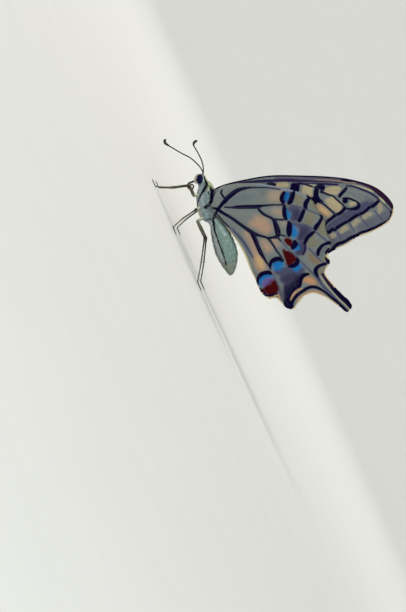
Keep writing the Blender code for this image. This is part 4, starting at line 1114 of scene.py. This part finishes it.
def fringe_dark(places, drawn):
    """1 where the wing's own black reaches its rim, or comes near it round the tail's end."""
    rim = np.flatnonzero(drawn.found["rim"] < RIM_BAND)
    nearest = [rim[np.argmin(np.sum((drawn.plan[rim] - place) ** 2, axis=1))] for place in places]
    x, y = places.T
    tail = (x > TAIL_END_X) | ((x > TAIL_FRONT_X) & (x + y > TAIL_FRONT))
    reach = np.where(tail & (y < TAIL_TOP_Y), TAIL_BLACK, RIM_BLACK)
    return (drawn.found["ink"][nearest] < reach).astype(float)


def wing_finish(settings):
    """Scales: every paint in turn over the ground, ragged at its edges, with fine rows and speckles."""
    finish = Finish("wing_scales", 0.7, 0.03)
    plan = finish.attribute("plan", "Vector")
    vein = finish.attribute("vein")
    coarse = finish.noise(plan, scale=1.1, detail=3.0)
    grain = finish.noise(plan, scale=7.0, detail=3.0, rough=0.65)
    speckle = finish.noise(plan, scale=16.0, detail=1.0)
    colour = finish.shaded(settings.ground, coarse, 0.82, 1.16)
    colour = finish.mix(finish.step(vein, 1.3, 0.0) * 0.35, colour, settings.shadow)
    # Some paints are painted light: shade near the hindwing's root, the glow of sun through the wing in
    # sand, amber and honey, and partly the brown of the tip's border and the light streaks
    for paint, (soft, ragged, spread) in PAINTS.items():
        away = finish.attribute(paint) + (grain - 0.5) * ragged
        share = finish.step(away, spread + soft, spread - soft)
        colour = finish.mix(share, colour, getattr(settings, paint))
    colour = finish.mix(finish.step(vein, 0.14, 0.02) * 0.35, colour, settings.slate)
    colour = finish.shaded(colour, grain, 0.8, 1.2)
    finish.feed("Base Color", finish.shaded(colour, speckle, 0.74, 1.26))
    rows = finish.node("ShaderNodeTexWave", {"wave_type": "BANDS", "bands_direction": "X"},
                       {"Vector": plan, "Scale": 2.2, "Distortion": 2.5, "Detail": 2.0, "Detail Scale": 3.0},
                       "Fac")
    finish.bump(rows * 0.5 + speckle, 0.03, 0.6)
    return finish.material


def fringe_finish(settings):
    finish = Finish("fringe_scales", 0.7, 0.05)
    grain = finish.noise(finish.place(), scale=4000.0, detail=1.0)
    # The bright fringe is pale scales with a painted glow of light from behind; over the forewing it takes
    # the duller pale paint
    colour = finish.mix(finish.attribute("dim"), settings.fringe, settings.pale)
    colour = finish.mix(finish.attribute("dark"), colour, settings.ink)
    return finish.grained(colour, grain, dark=0.75, bright=1.2, distance=0.01)


def build_wings(settings):
    material = wing_finish(settings)
    fringe = fringe_finish(settings)
    draw = np.random.default_rng(11)
    kinds = (("forewing", FOREWING_OUTLINE, FOREWING_VEINS, FOREWING_MARKS, FOREWING_FRINGE, FOREWING_PLANE),
             ("hindwing", HINDWING_OUTLINE, HINDWING_VEINS, HINDWING_MARKS, HINDWING_FRINGE, HINDWING_PLANE))
    for kind, outline, veins, marks, ends, plane in kinds:
        drawn = wing_plan(outline, veins, marks, ends, settings)
        for word, side in SIDES:
            name = kind + "_" + word
            add_wing(name, drawn, plane, side, settings, material)
            add_fringe(name, drawn, ends, plane, side, settings, fringe, draw)


def body_sections(settings):
    """Rings of the skin: x, z, half height and half width, grooved between the abdomen's segments."""
    rings = smooth_line(BODY, settings.ring / MM)
    share = np.clip((rings[:, 0] - WAIST) / (ABDOMEN_END - WAIST), 0.0, 1.0)
    groove = np.abs(np.cos(pi * BODY_SEGMENTS * share)) ** GROOVE_SHARPNESS
    groove *= (share > BODY_PLAIN_ENDS) * (share < 1.0 - BODY_PLAIN_ENDS)
    rings[:, 2:] *= (1.0 - settings.groove * groove)[:, None]
    return rings


def body_point(rings, along, turn):
    """Places, normals and lies of skin points: along counts rings, turn is the angle from straight up."""
    counted = np.arange(len(rings))
    x, z, tall, wide = read_rows(along, counted, rings).T
    next_x, next_z, next_tall, next_wide = read_rows(along + 0.5, counted, rings).T
    lie_x = next_x - x + 1e-6
    lie_y = (next_wide - wide) * np.sin(turn)
    lie_z = next_z - z + (next_tall - tall) * np.cos(turn)
    lies = unit(np.column_stack((lie_x, lie_y, lie_z)))
    places = np.column_stack((x, wide * np.sin(turn), z + tall * np.cos(turn)))
    round_about = unit(np.column_stack((np.zeros(len(x)), wide * np.cos(turn), -tall * np.sin(turn))))
    normals = unit(np.cross(round_about, lies))
    return places, normals, lies


def store_body_marks(piece, places, turn, repeat=1):
    """What the body's finish reads: distances to its marks, how far along and how near the crest."""
    plan = places[:, (0, 2)]
    for name, strokes in BODY_MARKS.items():
        store(piece, name, np.repeat(distance(plan, stroke_lines(strokes)), repeat))
    store(piece, "along", np.repeat(places[:, 0], repeat))
    store(piece, "crown", np.repeat(np.cos(turn), repeat))


def body_colour(finish, settings):
    """The colours that skin and hair share, and the grain that breaks their edges."""
    place = finish.place()
    grain = finish.noise(place, scale=2600.0, detail=3.0, rough=0.6)
    tints = finish.noise(place, scale=1500.0, detail=1.0)
    clumps = finish.noise(place, scale=1200.0, detail=2.0)
    along = finish.attribute("along")
    crown = finish.attribute("crown")
    rough_crown = crown + (grain - 0.5) * 0.4
    thorax = finish.mix(finish.step(rough_crown, *CREST_CROWN) * 0.6, settings.side, settings.crest)
    thorax = finish.mix(finish.step(tints, 0.5, 0.68) * 0.4, thorax, settings.breast)
    thorax = finish.mix(finish.step(rough_crown, *BREAST_CROWN), thorax, settings.breast)
    collar = finish.step(along, *COLLAR_START) * finish.step(along, *COLLAR_END)
    thorax = finish.mix(collar * finish.step(crown, *COLLAR_CROWN), thorax, settings.crest)
    # Pale underside, partly painted light against the shade below the body
    rear = finish.mix(finish.step(crown, *BELLY_CROWN), settings.abdomen, settings.belly)
    rear = finish.mix(finish.step(along, *TIP_CHANGE), rear, settings.tip)
    ring = finish.step(along, *RING_START) * finish.step(along, *RING_END)
    rear = finish.mix(ring * 0.3, rear, settings.ink)
    abdomen = finish.step(along, *WAIST_CHANGE)
    colour = finish.mix(abdomen, thorax, rear)
    pale = finish.attribute("pale") + (grain - 0.5) * 0.3
    colour = finish.mix(finish.step(pale, 0.2, -0.3), colour, settings.coxa)
    colour = finish.mix(finish.step(finish.attribute("tegula"), 0.2, -0.1), colour, settings.tegula)
    # Painted light: paler beside the wing root, where the wing shades the body
    colour = finish.mix(finish.step(finish.attribute("root"), 0.5, -0.5) * 0.8, colour, settings.root)
    back = finish.step(crown + (grain - 0.5) * 0.03, *STRIPE_CROWN) * finish.step(along, *STRIPE_START)
    colour = finish.mix(back, colour, settings.ink)
    stripe = finish.attribute("ink") + (grain - 0.5) * 0.3
    colour = finish.mix(finish.step(stripe, 0.12, -0.1), colour, settings.ink)
    clumps = (clumps - 0.5) * (1 - abdomen * 0.75) + 0.5
    return finish.shaded(finish.shaded(colour, clumps, 0.7, 1.28), grain, 0.72, 1.28), grain


def build_body(settings):
    """One skin for head, thorax and abdomen."""
    finish = Finish("body_skin", 0.6, 0.2)
    colour, grain = body_colour(finish, settings)
    finish.feed("Base Color", colour)
    scales = finish.cells(finish.place(), 9000.0)
    finish.bump(scales + grain * 0.6, 0.03, 0.7)
    rings = body_sections(settings)
    sides = settings.sides
    along, turn = np.meshgrid(np.arange(len(rings)), np.arange(sides) * 2 * pi / sides, indexing="ij")
    turn = turn.ravel()
    places, _, _ = body_point(rings, along.ravel().astype(float), turn)
    last = (len(rings) - 1) * sides
    faces = ring_faces(len(rings), sides)
    faces.append(tuple(range(sides)))
    faces.append(tuple(last + index for index in reversed(range(sides))))
    piece = add_piece("body_skin", world(places), faces, finish.material,
                      ("head", "thorax", "abdomen"))
    store_body_marks(piece, places, turn)


def coat_patch(name, span, count, size, width, rise, bend, settings, material, draw, where=None):
    """Tufts rooted on the skin between the span's two x, denser where the body is thicker."""
    rings = body_sections(settings)
    held = (rings[:, 0] >= span[0]) & (rings[:, 0] <= span[1])
    total = np.concatenate(([0.0], np.cumsum(np.where(held, rings[:, 2], 0.0))))
    along = np.interp(draw.uniform(0.0, total[-1], count), total, np.arange(len(total))) - 0.5
    along = np.clip(along, *np.flatnonzero(held)[[0, -1]])
    turn = draw.uniform(-pi, pi, count)
    places, normals, lies = body_point(rings, along, turn)
    if where is not None:
        kept = where(places, turn)
        along, turn, places, normals, lies = [rows[kept] for rows in (along, turn, places, normals, lies)]
    count = len(along)
    jitter = draw.normal(0.0, COAT_JITTER, (count, 3))
    leans = unit(lies + normals * rise(turn)[:, None] + jitter)
    sizes = size(turn) * draw.uniform(*TUFT_LENGTHS, count)
    widths = width * draw.uniform(*TUFT_WIDTHS, count)
    points, faces = tufts(places - normals * COAT_SINK, leans, normals, sizes, widths, bend)
    piece = add_piece(name, world(points), faces, material)
    store_body_marks(piece, places, turn, TUFT_POINTS)
    store(piece, "share", np.tile(TUFT_SHARES, count))
    store(piece, "tone", np.repeat(draw.uniform(0.0, 1.0, count), TUFT_POINTS))
    store_map(piece, "OFBake", tuft_map(np.column_stack((turn / (2 * pi) + 0.5, along / len(rings)))))


def coat_finish(settings):
    finish = Finish("body_hair", 0.65, 0.08)
    colour, _ = body_colour(finish, settings)
    # Painted shade: each tuft darker at its root, where the coat shades it, and lighter towards its tip
    colour = finish.shaded(colour, finish.attribute("share"), 0.78, 1.2)
    finish.feed("Base Color", finish.shaded(colour, finish.attribute("tone"), 0.6, 1.4))
    return finish.material


def build_coat(settings):
    """Hair of the head, collar and thorax, and the short scales of the abdomen."""
    material = coat_finish(settings)
    draw = np.random.default_rng(5)
    hair = settings.hair / MM
    width = settings.hair_width / MM

    def patch(name, span, count, size, thick, rise, bend, where=None):
        coat_patch(name, span, count, size, width * thick, rise, bend, settings, material, draw, where)

    def even(value):
        return lambda turn: np.full(len(turn), value)

    def above(crown):
        return lambda places, turn: np.cos(turn) > crown

    def clear_of_eyes(places, turn):
        folded = np.column_stack((places[:, 0], np.abs(places[:, 1]), places[:, 2]))
        return np.sum(((folded - EYE_CENTRE) / EYE_CLEARING) ** 2, axis=1) > 1.0

    def head_length(turn):
        return hair * np.where(np.cos(turn) > 0.2, 0.55, 0.8)

    def thorax_length(turn):
        return hair * (0.8 + 0.2 * np.abs(np.cos(turn)))

    def thorax_rise(turn):
        return np.where(np.cos(turn) < -0.2, 0.8, 0.25)

    patch("head_hair", (-7.4, -5.2), settings.head_tufts, size=head_length, thick=0.8, rise=even(0.45),
          bend=0.15, where=clear_of_eyes)
    patch("collar_hair", (-6.1, -3.5), settings.collar_tufts, size=even(hair * 1.5), thick=1.1,
          rise=even(1.1), bend=0.05, where=above(0.15))
    patch("thorax_hair", (-5.4, 3.3), settings.thorax_tufts, size=thorax_length, thick=1.0,
          rise=thorax_rise, bend=0.15)
    patch("waist_hair", (2.0, 7.0), settings.waist_tufts, size=even(hair), thick=1.0, rise=even(0.4),
          bend=0.1, where=above(0.45))
    patch("abdomen_scales", (2.9, 16.4), settings.abdomen_tufts, size=even(0.3), thick=1.3, rise=even(0.1),
          bend=0.1)


def tube(name, path, radii, sides, material, replaced=()):
    """A closed tube along a path in millimetres, with round ends."""
    path = np.asarray(path, float)
    count = len(path)
    along = unit(np.gradient(path, axis=0))
    side = unit(np.cross(along, np.where(np.abs(along[:, 1:2]) > 0.9, (1.0, 0.0, 0.0), (0.0, 1.0, 0.0))))
    for index in range(1, count):
        carried = side[index - 1] - along[index] * (side[index - 1] @ along[index])
        side[index] = carried / np.linalg.norm(carried)
    up = np.cross(along, side)
    angle = np.arange(sides) * 2 * pi / sides
    radii = np.asarray(radii, float)
    ring = side[:, None] * np.cos(angle)[None, :, None] + up[:, None] * np.sin(angle)[None, :, None]
    places = (path[:, None] + ring * radii[:, None, None]).reshape(-1, 3)
    ends = np.vstack((path[0] - along[0] * radii[0] * 0.5, path[-1] + along[-1] * radii[-1] * 0.5))
    faces = [(face[0], *face[:0:-1]) for face in closed_faces(count, sides)]
    piece = add_piece(name, world(np.vstack((places, ends))), faces, material, replaced)
    store_along(piece, "share", np.linspace(0.0, 1.0, count), sides)
    return piece


def store_along(piece, name, values, sides):
    """Keeps one number for each ring of a tube, and the first and last of them for its poles."""
    store(piece, name, np.append(np.repeat(values, sides), (values[0], values[-1])))


def mirrored(controls, side):
    return [(x, side * y, z) for x, y, z in controls]


def eye_finish(settings):
    finish = Finish("eye_dome", 0.32, 0.06, 0.02)
    place = finish.place()
    facets = finish.cells(place, 1.0 / (EYE_FACET * MM))
    bands = finish.noise(place, scale=900.0)
    colour = finish.shaded(settings.eye, bands, 0.6, 1.5)
    finish.feed("Base Color", finish.shaded(colour, facets, 1.1, 0.8))
    finish.bump(1 - facets, 0.006, 0.5)
    return finish.material


def build_eyes(settings):
    """Smooth domes in the place of the faceted solids."""
    material = eye_finish(settings)
    tilt = Matrix.Rotation(EYE_TILT, 3, "Y")
    long, deep, tall = EYE_RADII
    for word, side in SIDES:
        centre = np.array(mirrored([EYE_CENTRE], side)[0])
        ball = [(long * sin(polar) * cos(turn), deep * sin(polar) * sin(turn), tall * cos(polar))
                for polar in (pi * row / EYE_ROWS for row in range(1, EYE_ROWS))
                for turn in (2 * pi * column / EYE_COLUMNS for column in range(EYE_COLUMNS))]
        ball += [(0.0, 0.0, tall), (0.0, 0.0, -tall)]
        places = [centre + np.array(tilt @ Vector(place)) for place in ball]
        faces = closed_faces(EYE_ROWS - 1, EYE_COLUMNS)
        add_piece("eye_dome_" + word, world(np.array(places)), faces, material, ("eye_" + word,))


def ringed(path, ring, depth):
    """Radius factors that pinch a limb at the joint of each ring, and how far along each point lies."""
    steps = steps_along(path)
    return 1.0 - depth * np.abs(np.cos(pi * steps / ring)) ** 8, steps


def feeler_finish(settings):
    finish = Finish("feeler_scales", 0.5, 0.3)
    share = finish.attribute("share")
    grain = finish.noise(finish.place(), scale=3500.0)
    joint = finish.attribute("joint") + (grain - 0.5) * 0.3
    colour = finish.mix(finish.step(joint, 0.35, 0.75), settings.feeler, settings.club)
    colour = finish.mix(finish.step(share + (grain - 0.5) * 0.03, 0.8, 0.86), colour, settings.club)
    colour = finish.mix(finish.step(share, 0.965, 0.99), colour, settings.feeler)
    return finish.grained(colour, grain, dark=0.75, bright=1.25, distance=0.01)


def build_feelers(settings):
    """Ringed feelers with clubs."""
    material = feeler_finish(settings)
    thin = settings.feeler_radius / MM
    thick = settings.club_radius / MM
    ring = settings.ring / MM
    for word, side in SIDES:
        path = smooth_line(mirrored(FEELERS[word], side), FEELER_STEP)
        pinch, steps = ringed(path, ring, FEELER_PINCH)
        swell = np.clip((steps / steps[-1] - CLUB_SHARE) / (1.0 - CLUB_SHARE), 0.0, 1.0)
        radii = (thin + (thick - thin) * np.sin(pi * swell ** CLUB_HASTE * CLUB_WAVE) ** 2) * pinch
        radii[-CLUB_END_ROWS:] *= np.linspace(1.0, CLUB_END, CLUB_END_ROWS)
        piece = tube("feeler_" + word, path, radii, LIMB_SIDES, material, ("antenna_" + word,))
        store_along(piece, "joint", np.abs(np.cos(pi * steps / ring)) ** 2, LIMB_SIDES)


def line_tufts(name, path, radii, count, length, width, rise, material, draw, ends=(0.0, 1.0)):
    """Tufts all round a limb, lying towards its tip."""
    path = np.asarray(path, float)
    along = unit(np.gradient(path, axis=0))
    counted = np.arange(len(path))
    spot = draw.uniform(ends[0], ends[1], count) * (len(path) - 1)
    turn = draw.uniform(-pi, pi, count)
    base = read_rows(spot, counted, path)
    lies = unit(read_rows(spot, counted, along))
    radius = np.interp(spot, counted, radii)
    side = unit(np.cross(lies, LIMB_START))
    up = np.cross(lies, side)
    normals = side * np.cos(turn)[:, None] + up * np.sin(turn)[:, None]
    leans = unit(lies + normals * rise + draw.normal(0.0, LIMB_JITTER, (count, 3)))
    sizes = length * draw.uniform(*TUFT_LENGTHS, count)
    places, faces = tufts(base + normals * (radius - LIMB_SINK)[:, None], leans, normals, sizes,
                          width * draw.uniform(*TUFT_WIDTHS, count))
    piece = add_piece(name, world(places), faces, material)
    share = spot / (len(path) - 1)
    store(piece, "share", np.repeat(share, TUFT_POINTS))
    store_map(piece, "OFBake", tuft_map(np.column_stack((turn / (2 * pi) + 0.5, share))))
    return piece


def mouth_finish(name, colour, tip):
    """Hair or horn that changes from its own colour to the tip's."""
    finish = Finish(name, 0.55, 0.25)
    grain = finish.noise(finish.place(), scale=3200.0)
    share = finish.attribute("share") + (grain - 0.5) * 0.2
    shaded = finish.mix(finish.step(share, 0.55, 0.95), colour, tip)
    return finish.grained(shaded, grain, dark=0.75, bright=1.25, distance=0.015)


def build_mouth(settings):
    """Hairy palps and the coiled tongue."""
    draw = np.random.default_rng(23)
    palp_material = mouth_finish("palp_hair", settings.palp, settings.hip)
    for word, side in SIDES:
        path = smooth_line(mirrored(PALP, side), PALP_STEP)
        radii = np.linspace(*PALP_RADII, len(path))
        tube("palp_core_" + word, path, radii, LIMB_SIDES, palp_material, ("palp_" + word,))
        line_tufts("palp_hair_" + word, path, radii, settings.palp_tufts, length=0.36, width=0.04, rise=0.35,
                   material=palp_material, draw=draw, ends=(0.1, 0.98))
    horn = mouth_finish("tongue_horn", settings.club, settings.club)
    turns = np.linspace(0.0, 1.0, COIL_POINTS)
    angle = pi + 2 * pi * COIL_TURNS * turns
    reach = COIL_RADII[0] + (COIL_RADII[1] - COIL_RADII[0]) * turns
    coil = np.column_stack((COIL_CENTRE[0] + reach * np.cos(angle), np.zeros(len(turns)),
                            COIL_CENTRE[1] + reach * np.sin(angle)))
    start = np.array((PROBOSCIS_ROOT[0], 0.0, PROBOSCIS_ROOT[1]))
    lead = start + (coil[0] - start) * np.linspace(0.0, 1.0, LEAD_POINTS)[:-1, None]
    path = np.vstack((lead, coil))
    pinch, _ = ringed(path, TONGUE_RING, TONGUE_PINCH)
    radii = np.linspace(*TONGUE_RADII, len(path)) * pinch
    tube("tongue", path, radii, LIMB_SIDES, horn, ("proboscis",))


def leg_path(joints, side):
    """The leg's line with short bends, and the stage, from 0 at its root to 5 at its claws, along it."""
    places = np.array(mirrored(joints, side))
    rows = []
    for index in range(len(places) - 1):
        start, end = places[index], places[index + 1]
        pieces = max(8, int(np.linalg.norm(end - start) / LEG_STEP))
        for part in range(pieces):
            share = part / pieces
            rows.append((*(start + (end - start) * share), index + share))
    rows.append((*places[-1], float(len(places) - 1)))
    rows = np.array(rows)
    kernel = np.array((1.0, 2.0, 3.0, 2.0, 1.0)) / 9.0
    for axis in range(3):
        rows[2:-2, axis] = np.convolve(rows[:, axis], kernel, mode="valid")
    return rows[:, :3], rows[:, 3]


def leg_radius(stages):
    """Half thickness: swollen thigh, slim shank and ringed foot."""
    base = np.interp(stages, np.arange(len(LEG_RADII)), LEG_RADII)
    thigh = THIGH_SWELL * np.sin(np.clip(stages - 1.0, 0.0, 1.0) * pi)
    shank = -SHANK_SLIMNESS * np.sin(np.clip(stages - 2.0, 0.0, 1.0) * pi)
    knees = sum(height * np.exp(-((stages - stage) / width) ** 2) for stage, height, width in KNEES)
    foot = np.clip(stages - 3.0, 0.0, 2.0) / 2.0
    rings = 1.0 - TARSAL_PINCH * (foot > 0) * np.abs(np.cos(pi * TARSAL_JOINTS * foot)) ** 10
    return (base + thigh + shank + knees) * rings


def leg_finish(settings):
    finish = Finish("leg_scales", 0.5, 0.3)
    grain = finish.noise(finish.place(), scale=3000.0, detail=3.0)
    stage = finish.attribute("stage") + (grain - 0.5) * 0.25
    colour = finish.mix(finish.step(stage, 1.1, 0.7), settings.straw, settings.hip)
    knee = finish.step(stage, 1.75, 2.0) * finish.step(stage, 2.35, 2.1)
    colour = finish.mix(knee, colour, settings.club)
    colour = finish.mix(finish.step(stage, 3.2, 4.2) * 0.8, colour, settings.club)
    return finish.grained(colour, grain, dark=0.7, bright=1.25, distance=0.015)


def cone(name, root, tip, radius, rise, material):
    """A small spine, such as a spur or claw, that curves up by the rise half way."""
    share = np.linspace(0.0, 1.0, SPINE_POINTS)[:, None]
    path = root + (tip - root) * share + np.array((0.0, 0.0, rise)) * (share * (1.0 - share) * 4.0)
    radii = np.linspace(radius, radius * SPINE_TIP, SPINE_POINTS)
    tube(name, path, radii, SPINE_SIDES, material)


def build_legs(settings):
    """Six legs with scales, spurs and claws."""
    material = leg_finish(settings)
    horn = mouth_finish("claw_horn", settings.club, settings.club)
    draw = np.random.default_rng(31)
    for kind, joints in LEGS.items():
        for word, side in SIDES:
            name = kind + "_" + word
            path, stages = leg_path(joints, side)
            radii = leg_radius(stages)
            piece = tube(name + "_skin", path, radii, LIMB_SIDES, material, (name,))
            store_along(piece, "stage", stages, LIMB_SIDES)
            hairy = np.flatnonzero((stages > HAIRY_STAGES[0]) & (stages < HAIRY_STAGES[1]))
            coat = line_tufts(name + "_hair", path[hairy], radii[hairy], settings.leg_tufts, length=0.3,
                              width=0.05, rise=0.3, material=material, draw=draw)
            first, last = stages[hairy[[0, -1]]]
            shares = np.zeros(len(coat.data.vertices), np.float32)
            coat.data.attributes["share"].data.foreach_get("value", shares)
            store(coat, "stage", first + shares * (last - first))
            ankle = int(np.argmin(np.abs(stages - SPUR_STAGE)))
            shank = unit(path[ankle + SHANK_PROBE] - path[ankle])
            toe = path[-1]
            ahead = unit(toe - path[-TOE_PROBE])
            across = np.array((-ahead[1], ahead[0], 0.0))
            for spread in (-1, 1):
                spur = path[ankle] + shank * SPUR_LENGTH + across * spread * SPUR_SPREAD
                cone(f"{name}_spur_{spread + 2}", path[ankle], spur, SPUR_RADIUS, 0.0, horn)
                claw = toe + ahead * CLAW_LENGTH + across * spread * CLAW_SPREAD - (0.0, 0.0, CLAW_DROP)
                cone(f"{name}_claw_{spread + 2}", toe, claw, CLAW_RADIUS, CLAW_RISE, horn)


def stage_finish(settings):
    finish = Finish("studio_paper", 0.9, 0.1)
    grain = finish.noise(finish.place(), scale=60.0, detail=3.0)
    finish.feed("Base Color", finish.shaded(settings.floor, grain, 0.97, 1.02))
    return finish.material


def area_light(name, place, target, size, power, tint):
    light = bpy.data.lights.new(name, "AREA")
    light.shape = "DISK"
    light.size = size
    light.energy = power
    light.color = tint
    lamp = add_object(name, light)
    lamp.location = place
    lamp.rotation_euler = (Vector(target) - Vector(place)).to_track_quat("-Z", "Y").to_euler()


def build_backdrop(settings):
    """Floor that turns up into a round backdrop."""
    profile = [(0.02, 0.0), (0.2, 0.0), (FLOOR_RADIUS, 0.0)]
    profile += [(FLOOR_RADIUS + BACKDROP_BEND * sin(a), BACKDROP_BEND - BACKDROP_BEND * cos(a))
                for a in np.linspace(0.1, pi / 2, 16)]
    sides = 96
    places = [(0.0, 0.0, 0.0)]
    for reach, height in profile:
        places += [(reach * cos(2 * pi * i / sides), reach * sin(2 * pi * i / sides), height)
                   for i in range(sides)]
    faces = [(0, 1 + i, 1 + (i + 1) % sides) for i in range(sides)]
    faces += ring_faces(len(profile), sides, 1)
    mesh = bpy.data.meshes.new("studio_floor")
    mesh.from_pydata(places, [], faces)
    mesh.shade_smooth()
    mesh.materials.append(stage_finish(settings))
    floor = add_object("studio_floor", mesh)


def build_lights(settings):
    """Soft lights and an even sky."""
    sky = bpy.data.worlds.new("studio_air")
    sky.use_nodes = True
    backdrop = sky.node_tree.nodes["Background"]
    backdrop.inputs["Color"].default_value = (0.95, 0.97, 1.0, 1.0)
    backdrop.inputs["Strength"].default_value = settings.sky
    bpy.context.scene.world = sky
    insect = (0.0, 0.0, 0.02)
    wall = (0.0, 1.2, 0.1)
    area_light("key", (-0.42, -0.22, 0.42), insect, 0.3, settings.key, (1.0, 0.96, 0.88))
    area_light("fill", (0.12, -0.6, 0.3), insect, 0.5, settings.fill, (0.93, 0.97, 1.0))
    area_light("wash", (0.0, 0.3, 0.8), wall, 0.6, settings.wash, (1.0, 0.99, 0.97))


def build_camera(settings):
    """The turned camera, framed as the photo is."""
    target = Vector(world(wing_places(np.array([FRAME_MIDDLE]), np.zeros(1), 0.0, 1))[0])
    target.y = 0.0
    back = Vector((0.0, -cos(settings.elevation), sin(settings.elevation)))
    camera = bpy.data.cameras.new("camera")
    camera.sensor_width = 36.0
    camera.lens = camera.sensor_width * settings.distance / MM / FRAME_HEIGHT
    camera.clip_start = 0.01
    camera.clip_end = 20.0
    eye = add_object("camera", camera)
    upright = Vector((-sin(WING_TURN), 0.0, cos(WING_TURN)))
    up = (upright - back * upright.dot(back)).normalized()
    turned = Matrix((up.cross(back), up, back)).transposed().to_4x4()
    eye.matrix_world = Matrix.Translation(target + back * settings.distance) @ turned
    bpy.context.scene.camera = eye


def build_stage(settings):
    """Floor, backdrop, lights and camera."""
    bpy.context.scene.view_settings.view_transform = "Standard"
    build_backdrop(settings)
    build_lights(settings)
    build_camera(settings)


class SwallowtailSettings(PropertyGroup):
    """All of the settings."""
    wings: PointerProperty(type=WingSettings, name="Wings")
    body: PointerProperty(type=BodySettings, name="Body")
    limbs: PointerProperty(type=LimbSettings, name="Limbs")
    stage: PointerProperty(type=StageSettings, name="Stage")


class SWALLOWTAIL_OT_wings(Operator):
    """Builds the four scaled wings and their fringes"""
    bl_idname = "swallowtail.wings"
    bl_label = "Wings"

    def execute(self, context):
        build_wings(context.scene.swallowtail.wings)
        return {"FINISHED"}


class SWALLOWTAIL_OT_body(Operator):
    """Builds the one skin of head, thorax and abdomen"""
    bl_idname = "swallowtail.body"
    bl_label = "Body skin"

    def execute(self, context):
        build_body(context.scene.swallowtail.body)
        return {"FINISHED"}


class SWALLOWTAIL_OT_coat(Operator):
    """Grows the hair of the head and thorax and the scales of the abdomen"""
    bl_idname = "swallowtail.coat"
    bl_label = "Coat"

    def execute(self, context):
        build_coat(context.scene.swallowtail.body)
        return {"FINISHED"}


class SWALLOWTAIL_OT_eyes(Operator):
    """Builds the faceted eyes"""
    bl_idname = "swallowtail.eyes"
    bl_label = "Eyes"

    def execute(self, context):
        build_eyes(context.scene.swallowtail.limbs)
        return {"FINISHED"}


class SWALLOWTAIL_OT_feelers(Operator):
    """Builds the ringed feelers with their clubs"""
    bl_idname = "swallowtail.feelers"
    bl_label = "Feelers"

    def execute(self, context):
        build_feelers(context.scene.swallowtail.limbs)
        return {"FINISHED"}


class SWALLOWTAIL_OT_mouth(Operator):
    """Builds the palps and the coiled tongue"""
    bl_idname = "swallowtail.mouth"
    bl_label = "Mouthparts"

    def execute(self, context):
        build_mouth(context.scene.swallowtail.limbs)
        return {"FINISHED"}


class SWALLOWTAIL_OT_legs(Operator):
    """Builds the six legs with their spurs and claws"""
    bl_idname = "swallowtail.legs"
    bl_label = "Legs"

    def execute(self, context):
        build_legs(context.scene.swallowtail.limbs)
        return {"FINISHED"}


class SWALLOWTAIL_OT_stage(Operator):
    """Sets up the floor, the lights and the camera"""
    bl_idname = "swallowtail.stage"
    bl_label = "Stage"

    def execute(self, context):
        build_stage(context.scene.swallowtail.stage)
        return {"FINISHED"}


OPERATORS = (SWALLOWTAIL_OT_wings, SWALLOWTAIL_OT_body, SWALLOWTAIL_OT_coat, SWALLOWTAIL_OT_eyes,
             SWALLOWTAIL_OT_feelers, SWALLOWTAIL_OT_mouth, SWALLOWTAIL_OT_legs, SWALLOWTAIL_OT_stage)


class SWALLOWTAIL_PT_pieces(Panel):
    """Lists the pieces of the swallowtail"""
    bl_idname = "SWALLOWTAIL_PT_pieces"
    bl_label = "Swallowtail"
    bl_space_type = "VIEW_3D"
    bl_region_type = "UI"
    bl_category = "Swallowtail"

    def draw(self, context):
        for operator in OPERATORS:
            self.layout.operator(operator.bl_idname)


CLASSES = (WingSettings, BodySettings, LimbSettings, StageSettings, SwallowtailSettings, *OPERATORS,
           SWALLOWTAIL_PT_pieces)


def register():
    for kind in CLASSES:
        bpy.utils.register_class(kind)
    bpy.types.Scene.swallowtail = PointerProperty(type=SwallowtailSettings)


def unregister():
    del bpy.types.Scene.swallowtail
    for kind in reversed(CLASSES):
        bpy.utils.unregister_class(kind)


def main():
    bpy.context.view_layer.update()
    register()
    bpy.ops.swallowtail.wings()
    bpy.ops.swallowtail.body()
    bpy.ops.swallowtail.coat()
    bpy.ops.swallowtail.eyes()
    bpy.ops.swallowtail.feelers()
    bpy.ops.swallowtail.mouth()
    bpy.ops.swallowtail.legs()
    bpy.ops.swallowtail.stage()


if __name__ == "__main__":
    main()
